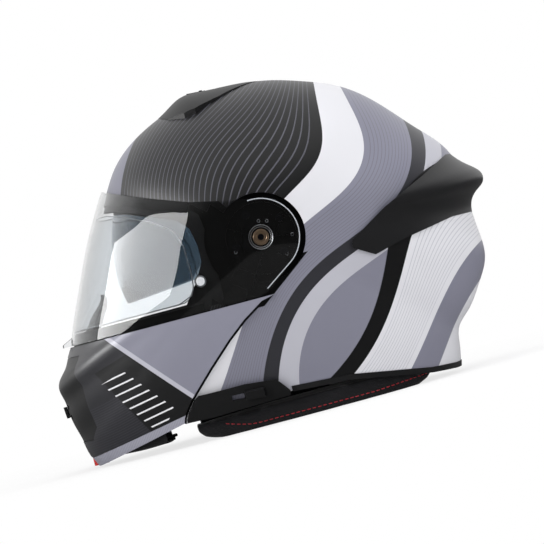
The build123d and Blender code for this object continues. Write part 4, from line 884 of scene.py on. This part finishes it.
BUSHING_PROFILE = [(6.1, -0.6), (6.1, 0.1), (5.7, 0.5), (4.4, 0.5), (4.1, 0.2), (3.5, 0.2), (3.3, 0.45),
                   (2.6, 0.45),
                   (2.2, -0.3), (1.2, -0.4)]
for side_name, sign in (("left", -1), ("right", 1)):
    face_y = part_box("pivot_bushing_" + side_name)[0 if sign < 0 else 1][1] / MM
    turned("bushing_face_" + side_name, BUSHING_PROFILE, face_y, sign, turned_brass, "helmet")
    turned("bushing_core_" + side_name, [(2.4, -0.5), (2.4, -0.1), (0.9, 0.0), (0.7, -0.2), (0.2, -0.2)],
           face_y, sign,
           black_oxide, "helmet")

# %% [markdown]
# The pod is a moulding with a catch and thin stiffening ribs, all in the same polished black acetal,
# and studs drawn as rings of bright steel. They are placed about the hinge as the picture shows
# them, and mirrored.

# %% The pod's ribs, studs and catches
pod_ribs = [
    [(-10.1, 152.9), (-12.3, 145.4), (-13.2, 138.1), (-13.1, 133.7)],
    [(-13.1, 156.9), (-13.2, 153.1), (-17.3, 150.5), (-17.3, 144.8), (-19.4, 140.4)],
    [(0.8, 129.4), (-6.6, 119.4), (-14.0, 105.8)],
    [(13.9, 139.6), (15.4, 144.2), (17.5, 147.4), (20.9, 149.6)],
    [(-20.3, 123.1), (-25.7, 117.0), (-27.2, 114.9), (-23.8, 109.0), (-17.0, 107.2)],
    [(-13.1, 109.3), (-10.1, 113.5), (-10.0, 116.0), (-20.3, 123.1)],
    [(3.2, 154.2), (4.9, 155.2), (9.0, 154.1), (9.3, 152.6)],
    [(19.2, 154.8), (21.5, 156.6), (24.1, 152.2), (22.6, 151.1)],
    [(17.5, 139.3), (25.0, 137.8)], [(9.6, 126.1), (17.2, 124.6)], [(-5.4, 114.6), (2.0, 112.8)],
]
pod_studs = [(25.6, 137.7), (17.8, 124.5), (2.7, 112.6), (3.2, 154.2), (9.3, 152.6), (-19.8, 135.5)]
for side_name, sign in (("left", -1), ("right", 1)):
    plate_skin = skin_of(nodes["mechanism_plate_" + side_name])
    ribs = [on_side(plate_skin, resampled(path, 0.8), sign, 0.1) for path in pod_ribs]
    ribs = [path for path in ribs if len(path) > 2]
    wires("pod_ribs_" + side_name, ribs, 0.4, polished_acetal, "chin_assembly")
    studs = [on_side(plate_skin, ring(spot, 1.1, 12), sign, 0.1) for spot in pod_studs]
    studs = [path for path in studs if len(path) == 12]
    wires("pod_studs_" + side_name, studs, 0.38, bright_ring, "chin_assembly", closed=True)
    print(side_name, "pod ribs", len(ribs), "studs", len(studs))

# %% [markdown]
# The soft pieces are foam under cloth. Each starts from the CAD form of the space that it
# fills, remeshed to even quads and drawn in a little. A cloth simulation then blows it up:
# pressure pushes the skin out, its tension rounds the edges, and a cap keeps each point near
# its start, so that a pad stays clear of its neighbours. Sculpting by hand could look as good,
# but wouldn't follow a change of the frame. Channels and stitches come after, because the
# remesh would lose them.

# %% A stuffed pad from the form of its CAD node
def corners(obj):
    """Gives a mesh's vertices in millimetres."""
    flat = np.empty(3 * len(obj.data.vertices))
    obj.data.vertices.foreach_get("co", flat)
    return flat.reshape(-1, 3) / MM


def move_corners(obj, places):
    """Puts a mesh's vertices at places in millimetres."""
    obj.data.vertices.foreach_set("co", (np.asarray(places) * MM).ravel())
    obj.data.update()


PUFF_FRAMES, PUFF_PRESSURE = 20, 4.0


def stuffed(node, material, draw_in, grid, cap, floor=None):
    """Makes a pad that stands for a soft CAD node. draw_in, grid, cap and floor are in millimetres."""
    pad = bpy.data.objects.new(node + "_cloth", nodes[node].data.copy())
    scene.collection.objects.link(pad)
    quads = pad.modifiers.new("even_quads", "REMESH")
    quads.mode, quads.voxel_size = "VOXEL", grid * MM
    slim = pad.modifiers.new("slim", "DISPLACE")
    slim.strength, slim.mid_level = -draw_in * MM, 0.0
    baked(pad)
    start = corners(pad)
    cloth = pad.modifiers.new("cloth", "CLOTH")
    cloth.settings.use_pressure = True
    cloth.settings.uniform_pressure_force = PUFF_PRESSURE
    cloth.settings.effector_weights.gravity = 0.0
    for step in range(1, PUFF_FRAMES + 1):
        scene.frame_set(step)
    baked(pad)
    scene.frame_set(1)
    swell = corners(pad) - start
    reach = np.linalg.norm(swell, axis=1)[:, None]
    places = start + swell * np.minimum(1, cap / np.maximum(reach, cap / 100))
    if floor is not None:
        places[:, 2] = np.maximum(places[:, 2], floor)
    move_corners(pad, places)
    pad.modifiers.new("rounded", "SUBSURF").levels = 1
    baked(pad)
    finish_mesh(pad, material, 80)
    print(node, "faces", len(pad.data.polygons), "swell in mm", round(float(reach.max()), 1))
    return pad


def soft_piece(pad, node, body):
    """Hangs a pad on the body that it rides and hides the CAD node that it stands for."""
    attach(pad, body)
    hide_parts(node)


# %% The neck roll, with its red seam
neck_roll = stuffed("neck_roll", roll_knit, draw_in=1.2, grid=4.0, cap=4.0, floor=0.0)
soft_piece(neck_roll, "neck_roll", "helmet")


def stitched(name, skin, path, body, stitch=3.2, gap=1.1, radius=0.42):
    """Sews a row of short raised stitches along a path on a soft piece, sizes in millimetres."""
    path = [np.array(point) for point in path]
    steps = [np.linalg.norm(after - before) for before, after in zip(path, path[1:])]
    along = np.concatenate(([0], np.cumsum(steps)))
    line = np.array(path)
    vertices, faces = [], []
    sides = 6
    for turn in range(int(along[-1] / (stitch + gap))):
        start = turn * (stitch + gap)
        first = np.array([np.interp(start, along, line[:, i]) for i in range(3)])
        last = np.array([np.interp(start + stitch, along, line[:, i]) for i in range(3)])
        _, normal, _, _ = skin.find_nearest(Vector((first + last) / 2) * MM)
        normal = np.array(normal)
        run = (last - first) / np.linalg.norm(last - first)
        across = np.cross(run, normal)
        for share, thick, sink in ((0, 0.4, -0.5), (0.2, 1, 0.3), (0.8, 1, 0.3), (1, 0.4, -0.5)):
            centre = first + (last - first) * share + normal * radius * sink
            for side_step in range(sides):
                angle = math.tau * side_step / sides
                spread = math.cos(angle) * across + math.sin(angle) * normal
                vertices.append(centre + radius * thick * spread)
        faces += tube_faces(len(vertices) - 4 * sides, 4, sides)
    seam = dressed(mesh_object(name, vertices, faces), red_thread, body, degrees=60)
    print(name, "length in mm", round(float(along[-1])))
    return seam


roll_skin = skin_of(neck_roll)
ROLL_MIDDLE_X, ROLL_SEAM_LOW = 10.0, 4.2
roll_seam = []
for step in range(241):
    turn = math.radians(-128 + 256 * step / 240)
    out = np.array([math.cos(turn), math.sin(turn)])
    reach_x = ROLL_MIDDLE_X + 110 * out[0]
    level = ROLL_SEAM_LOW + 9 * max(0.0, (-40 - reach_x) / 24) ** 1.5 + 4 * max(0.0, (reach_x - 60) / 60)
    far = (ROLL_MIDDLE_X + 300 * out[0], 300 * out[1], level)
    point = cast_in(roll_skin, far, (ROLL_MIDDLE_X, 0, level))
    if point is not None:
        roll_seam.append(point)
stitched("neck_roll_seam", roll_skin, roll_seam, "helmet")

# %% [markdown]
# The cheek pads and the crown pad come out for washing. Each cheek pad is one pillow with a
# red seam round the face that meets the cheek. The crown pad is thin foam with four slots under
# the vent channels, quilted by channels that are pressed in along and across the head.

# %% Cheek pads and crown pad
cheek_centre = side([(-0.063, 0.212)])[0]
cheek_rim = closed_spline(side([
    (-0.170, 0.095), (-0.172, 0.224), (-0.150, 0.318), (-0.105, 0.345), (0.000, 0.340), (0.040, 0.315),
    (0.045, 0.187), (0.040, 0.130), (-0.005, 0.100), (-0.109, 0.083),
]), 120)
for side_name, sign in (("left", -1), ("right", 1)):
    pad = stuffed("cheek_pad_" + side_name, pad_knit, draw_in=1.5, grid=4.0, cap=4.0)
    soft_piece(pad, "cheek_pad_" + side_name, "helmet")
    pad_skin = skin_of(pad)
    seam = []
    for x, z in [*cheek_rim, cheek_rim[0]]:
        inner = cheek_centre + (np.array([x, z]) - cheek_centre) * 0.78
        point = cast_in(pad_skin, (inner[0], 0, inner[1]), (inner[0], sign * 200, inner[1]))
        if point is not None:
            seam.append(point)
    stitched("cheek_seam_" + side_name, pad_skin, seam, "helmet")

crown_pad = stuffed("crown_pad", pad_knit, draw_in=0.6, grid=2.6, cap=2.2)
places = corners(crown_pad)
middle = np.array([HINGE[0], 0, HINGE[1]])
outward = (places - middle) / np.linalg.norm(places - middle, axis=1)[:, None]
press = np.zeros(len(places))
for line in (-48, 0, 48):
    press += np.exp(-((places[:, 1] - line) / 2.6) ** 2)
for line in (-62, -2, 62):
    press += np.exp(-((places[:, 0] - line) / 2.6) ** 2)
inner_face = np.linalg.norm(places - middle, axis=1) < np.median(np.linalg.norm(places - middle, axis=1))
move_corners(crown_pad, places + outward * (1.6 * np.minimum(press, 1) * inner_face)[:, None])
soft_piece(crown_pad, "crown_pad", "helmet")

# %% [markdown]
# The chin lining is foam under cloth, glued inside the chin bar. Below it, the chin curtain is
# one piece of mesh cloth that is clipped inside the chin bar's lower edge and reaches in under
# the chin, to keep the wind out. It is a thin sheet, so it is modelled as one grid that follows
# the chin bar's section, with a slight sag and a bound hem on its free edge.

# %% Chin lining
chin_lining = stuffed("chin_lining", lining_knit, draw_in=1.4, grid=3.2, cap=1.2)
soft_piece(chin_lining, "chin_lining", "chin_assembly")

# %% The chin curtain: one sheet from the chin bar's wall in under the chin
CURTAIN_IN, CURTAIN_TOP, CURTAIN_FLOOR, CURTAIN_REACH, CURTAIN_REAR = 3.9, 18.0, 7.0, 40.0, -99.5
probe = dome("probe", inset(chin_points, CURTAIN_IN), CHIN_HALF - CURTAIN_IN)
probe_skin = skin_of(probe)
wall_levels = np.linspace(CURTAIN_TOP, CURTAIN_FLOOR + 1.5, 5)
inward_steps = np.linspace(0, CURTAIN_REACH, 18)
columns = []
for degrees in np.linspace(-84, 84, 85):
    turn = math.radians(degrees)
    out = np.array([-math.cos(turn), math.sin(turn)])
    column = []
    for level in wall_levels:
        far = (CURTAIN_REAR + 260 * out[0], 260 * out[1], level)
        column.append(cast_in(probe_skin, far, (CURTAIN_REAR, 0, level)))
    foot_point = column[-1]
    reach = min(1.0, (np.linalg.norm(foot_point[:2] - (CURTAIN_REAR, 0)) - 4) / CURTAIN_REACH)
    for step in inward_steps:
        share = step / CURTAIN_REACH
        sag = 1.6 * math.sin(math.pi * share) * (0.6 + 0.4 * math.cos(6 * turn))
        lip = 0.9 * max(0.0, share - 0.85) / 0.15
        column.append(np.array([*(foot_point[:2] - out * step * reach), CURTAIN_FLOOR - sag * 0.8 + lip]))
    columns.append(column)
bpy.data.objects.remove(probe)
rows = len(columns[0])
grid = [spot for column in columns for spot in column]
faces = [(i * rows + j, (i + 1) * rows + j, (i + 1) * rows + j + 1, i * rows + j + 1)
         for i in range(len(columns) - 1) for j in range(rows - 1)]
curtain = mesh_object("chin_curtain_cloth", grid, faces, curtain_mesh)
solid = curtain.modifiers.new("cloth_thickness", "SOLIDIFY")
solid.thickness, solid.offset = 1.0 * MM, 0.0
curtain.modifiers.new("rounded", "SUBSURF").levels = 1
baked(curtain)
finish_mesh(curtain, curtain_mesh, 60)
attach(curtain, "chin_assembly")
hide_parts("chin_curtain")
hem = wires("chin_curtain_hem", [[column[-1] for column in columns]], 1.3, curtain_mesh, "chin_assembly")

# %% [markdown]
# The chin strap is woven polyester, 22 mm wide and 1.8 mm thick. Each side is a ribbon with
# thicker selvedges, swept along its path from the rivet on the shell to the buckle.

# %% The two straps
STRAP_FRONT, STRAP_WIDTH, STRAP_THICK = 0.065 * LENGTH, 22.0, 1.8
strap_shares = [(0.889, 0.240), (0.874, 0.188), (0.818, 0.135), (0.697, 0.095), (0.580, 0.066),
                (0.400, 0.041)]
across = np.linspace(0, 1, 13)
thick = 0.5 * STRAP_THICK * np.where((across < 0.1) | (across > 0.9), 0.72,
                                     0.86 + 0.14 * np.cos(across * 14) ** 2)
profile = [(s * STRAP_WIDTH, t) for s, t in zip(across, thick)]
profile += [(s * STRAP_WIDTH, -t) for s, t in zip(across[::-1], thick[::-1])]
for side_name, sign, end in (("left", -1, 18.0), ("right", 1, 24.0)):
    knots = np.array([(sign * y * SHELL_HALF, z * HEIGHT) for y,
                      z in strap_shares] + [(sign * end, 0.030 * HEIGHT)])
    knots_along = np.concatenate(([0], np.cumsum(np.linalg.norm(np.diff(knots, axis=0), axis=1))))
    fit_y, fit_z = (np.polyfit(knots_along, knots[:, i], 5) for i in (0, 1))
    at = np.linspace(0, knots_along[-1], 60)
    path = np.column_stack((np.polyval(fit_y, at), np.polyval(fit_z, at)))
    run = np.gradient(path, axis=0)
    run = run / np.linalg.norm(run, axis=1)[:, None]
    normal = np.column_stack((-run[:, 1], run[:, 0]))
    count = len(profile)
    vertices = [(STRAP_FRONT + s, *(spot + t * n)) for spot, n in zip(path, normal) for s, t in profile]
    strap = faced_out(mesh_object("webbing_" + side_name, vertices, tube_faces(0, len(path), count)))
    dressed(strap, webbing, "helmet", "strap_" + side_name, degrees=50)
    print("strap", side_name, "length in mm", round(float(knots_along[-1])))

# %% [markdown]
# The picture is a studio cut-out: a pure white ground and soft light from above and in front.
# The camera looks along +Y from the helmet's left through a long lens, and is rolled by 15
# degrees, because the helmet tips forward in the photograph.

# %% Floor, light and camera
def ray_masks(tree):
    """Gives two sockets: 1 for rays from the camera or through glass, and 1 for those off a mirror."""
    path = add_node(tree, "LightPath")
    bounced = add_node(tree, "Math", {0: path.outputs["Glossy Depth"], 1: path.outputs["Diffuse Depth"]},
                       operation="ADD")
    straight = add_node(tree, "Math", {0: bounced.outputs[0], 1: 0.5}, operation="LESS_THAN")
    seen = add_node(tree, "Math", {0: path.outputs["Is Camera Ray"],
                                             1: path.outputs["Is Transmission Ray"]}, operation="MAXIMUM")
    clear = times(tree, seen.outputs[0], straight.outputs[0])
    through = add_node(tree, "Math", {0: path.outputs["Is Transmission Ray"], 1: clear},
                       operation="SUBTRACT", use_clamp=True)
    mirror = add_node(tree, "Math", {0: path.outputs["Is Glossy Ray"], 1: through.outputs[0]},
                      operation="MAXIMUM")
    return clear, mirror.outputs[0]


world = bpy.data.worlds.new("studio")
world.use_nodes = True
scene.world = world
tree = world.node_tree
tree.nodes.clear()
clear, mirror = ray_masks(tree)
ambient = add_node(tree, "Background", {"Color": linear("#ffffff"), "Strength": 0.42})
white = add_node(tree, "Background", {"Color": linear("#ffffff"), "Strength": 1.0})
way = add_node(tree, "SeparateXYZ", {"Vector": add_node(tree, "TexCoord").outputs["Generated"]})
behind = add_node(tree, "MapRange", {"Value": way.outputs["Y"], "From Min": -0.35, "From Max": 0.35},
                  interpolation_type="SMOOTHSTEP")
above = add_node(tree, "MapRange", {"Value": way.outputs["Z"], "From Min": 0.3, "From Max": 0.85},
                 interpolation_type="SMOOTHSTEP")
bright = add_node(tree, "Math", {0: behind.outputs["Result"], 1: above.outputs["Result"]},
                  operation="MAXIMUM")
strength = add_node(tree, "MapRange", {"Value": bright.outputs[0], "To Min": 0.05, "To Max": 0.9})
seen_in_gloss = add_node(tree, "Background", {"Color": linear("#ffffff"),
                                                        "Strength": strength.outputs["Result"]})
mix = add_node(tree, "MixShader", {0: clear, 1: ambient.outputs[0], 2: white.outputs[0]})
mix = add_node(tree, "MixShader", {0: mirror, 1: mix.outputs[0], 2: seen_in_gloss.outputs[0]})
add_node(tree, "OutputWorld", {"Surface": mix.outputs[0]})

FLOOR_HALF = 6000
floor_corners = [(-FLOOR_HALF, -FLOOR_HALF, 0), (FLOOR_HALF, -FLOOR_HALF, 0), (FLOOR_HALF, FLOOR_HALF, 0),
                 (-FLOOR_HALF, FLOOR_HALF, 0)]
floor = mesh_object("floor", floor_corners, [(0, 1, 2, 3)])
floor_paper = bpy.data.materials.new("white_background_paper")
floor_paper.use_nodes = True
tree = floor_paper.node_tree
tree.nodes.clear()
clear, mirror = ray_masks(tree)
paper = add_node(tree, "BsdfDiffuse", {"Color": linear("#f6f6f6")})
glow = add_node(tree, "Emission", {"Color": linear("#ffffff"), "Strength": 1.0})
distance = add_node(tree, "VectorMath", {0: place(tree)}, operation="LENGTH")
fade = add_node(tree, "MapRange", {"Value": distance.outputs["Value"], "From Min": 0.15, "From Max": 0.7,
                                             "To Min": 0.75, "To Max": 1.0})
faded = times(tree, clear, fade.outputs["Result"])
mirrored_glow = add_node(tree, "Emission", {"Color": linear("#ffffff"), "Strength": 0.15})
mix = add_node(tree, "MixShader", {0: faded, 1: paper.outputs[0], 2: glow.outputs[0]})
mix = add_node(tree, "MixShader", {0: mirror, 1: mix.outputs[0], 2: mirrored_glow.outputs[0]})
add_node(tree, "OutputMaterial", {"Surface": mix.outputs[0]})
floor.data.materials.append(floor_paper)


def soft_box(name, place_mm, aim_mm, size_mm, watts, mirrored=False):
    """Adds an area light at a place, aimed at a point, that shows either in mirrors or on matte surfaces."""
    lamp = bpy.data.lights.new(name, "AREA")
    lamp.shape, lamp.size, lamp.size_y, lamp.energy = "RECTANGLE", size_mm[0] * MM, size_mm[1] * MM, watts
    made = bpy.data.objects.new(name, lamp)
    made.location = Vector(place_mm) * MM
    made.rotation_euler = (Vector(aim_mm) - Vector(place_mm)).to_track_quat("-Z", "Y").to_euler()
    made.visible_glossy = mirrored
    made.visible_diffuse = not mirrored
    made.visible_transmission = False
    scene.collection.objects.link(made)
    return made


middle = (0, 0, 120)
soft_box("overhead", (100, -250, 1300), middle, (1200, 900), 10)
soft_box("front_left", (-1300, -900, 500), middle, (500, 1000), 6)
soft_box("rear_left", (1200, -800, 500), middle, (400, 1000), 6)
soft_box("camera_side", (100, -1800, 300), middle, (1600, 1000), 4)
soft_box("far_side", (0, 1500, 800), middle, (1600, 900), 6)
soft_box("front_panel", (-1110, -370, 560), middle, (1500, 430), 20, mirrored=True)

ROLL = math.radians(15)
VIEW_WIDTH, CAMERA_DISTANCE = 429.8, 4000.0
camera_data = bpy.data.cameras.new("camera")
camera_data.sensor_width = 36.0
camera_data.lens = 36.0 * CAMERA_DISTANCE / VIEW_WIDTH
camera = bpy.data.objects.new("camera", camera_data)
right, up = Vector((math.cos(ROLL), 0, -math.sin(ROLL))), Vector((math.sin(ROLL), 0, math.cos(ROLL)))
camera.matrix_world = Matrix.Translation(Vector((3.1, -CAMERA_DISTANCE, 113.7)) * MM) @ Matrix(
    (right, up, right.cross(up))).transposed().to_4x4()
scene.collection.objects.link(camera)
scene.camera = camera
scene.view_settings.view_transform = "Standard"
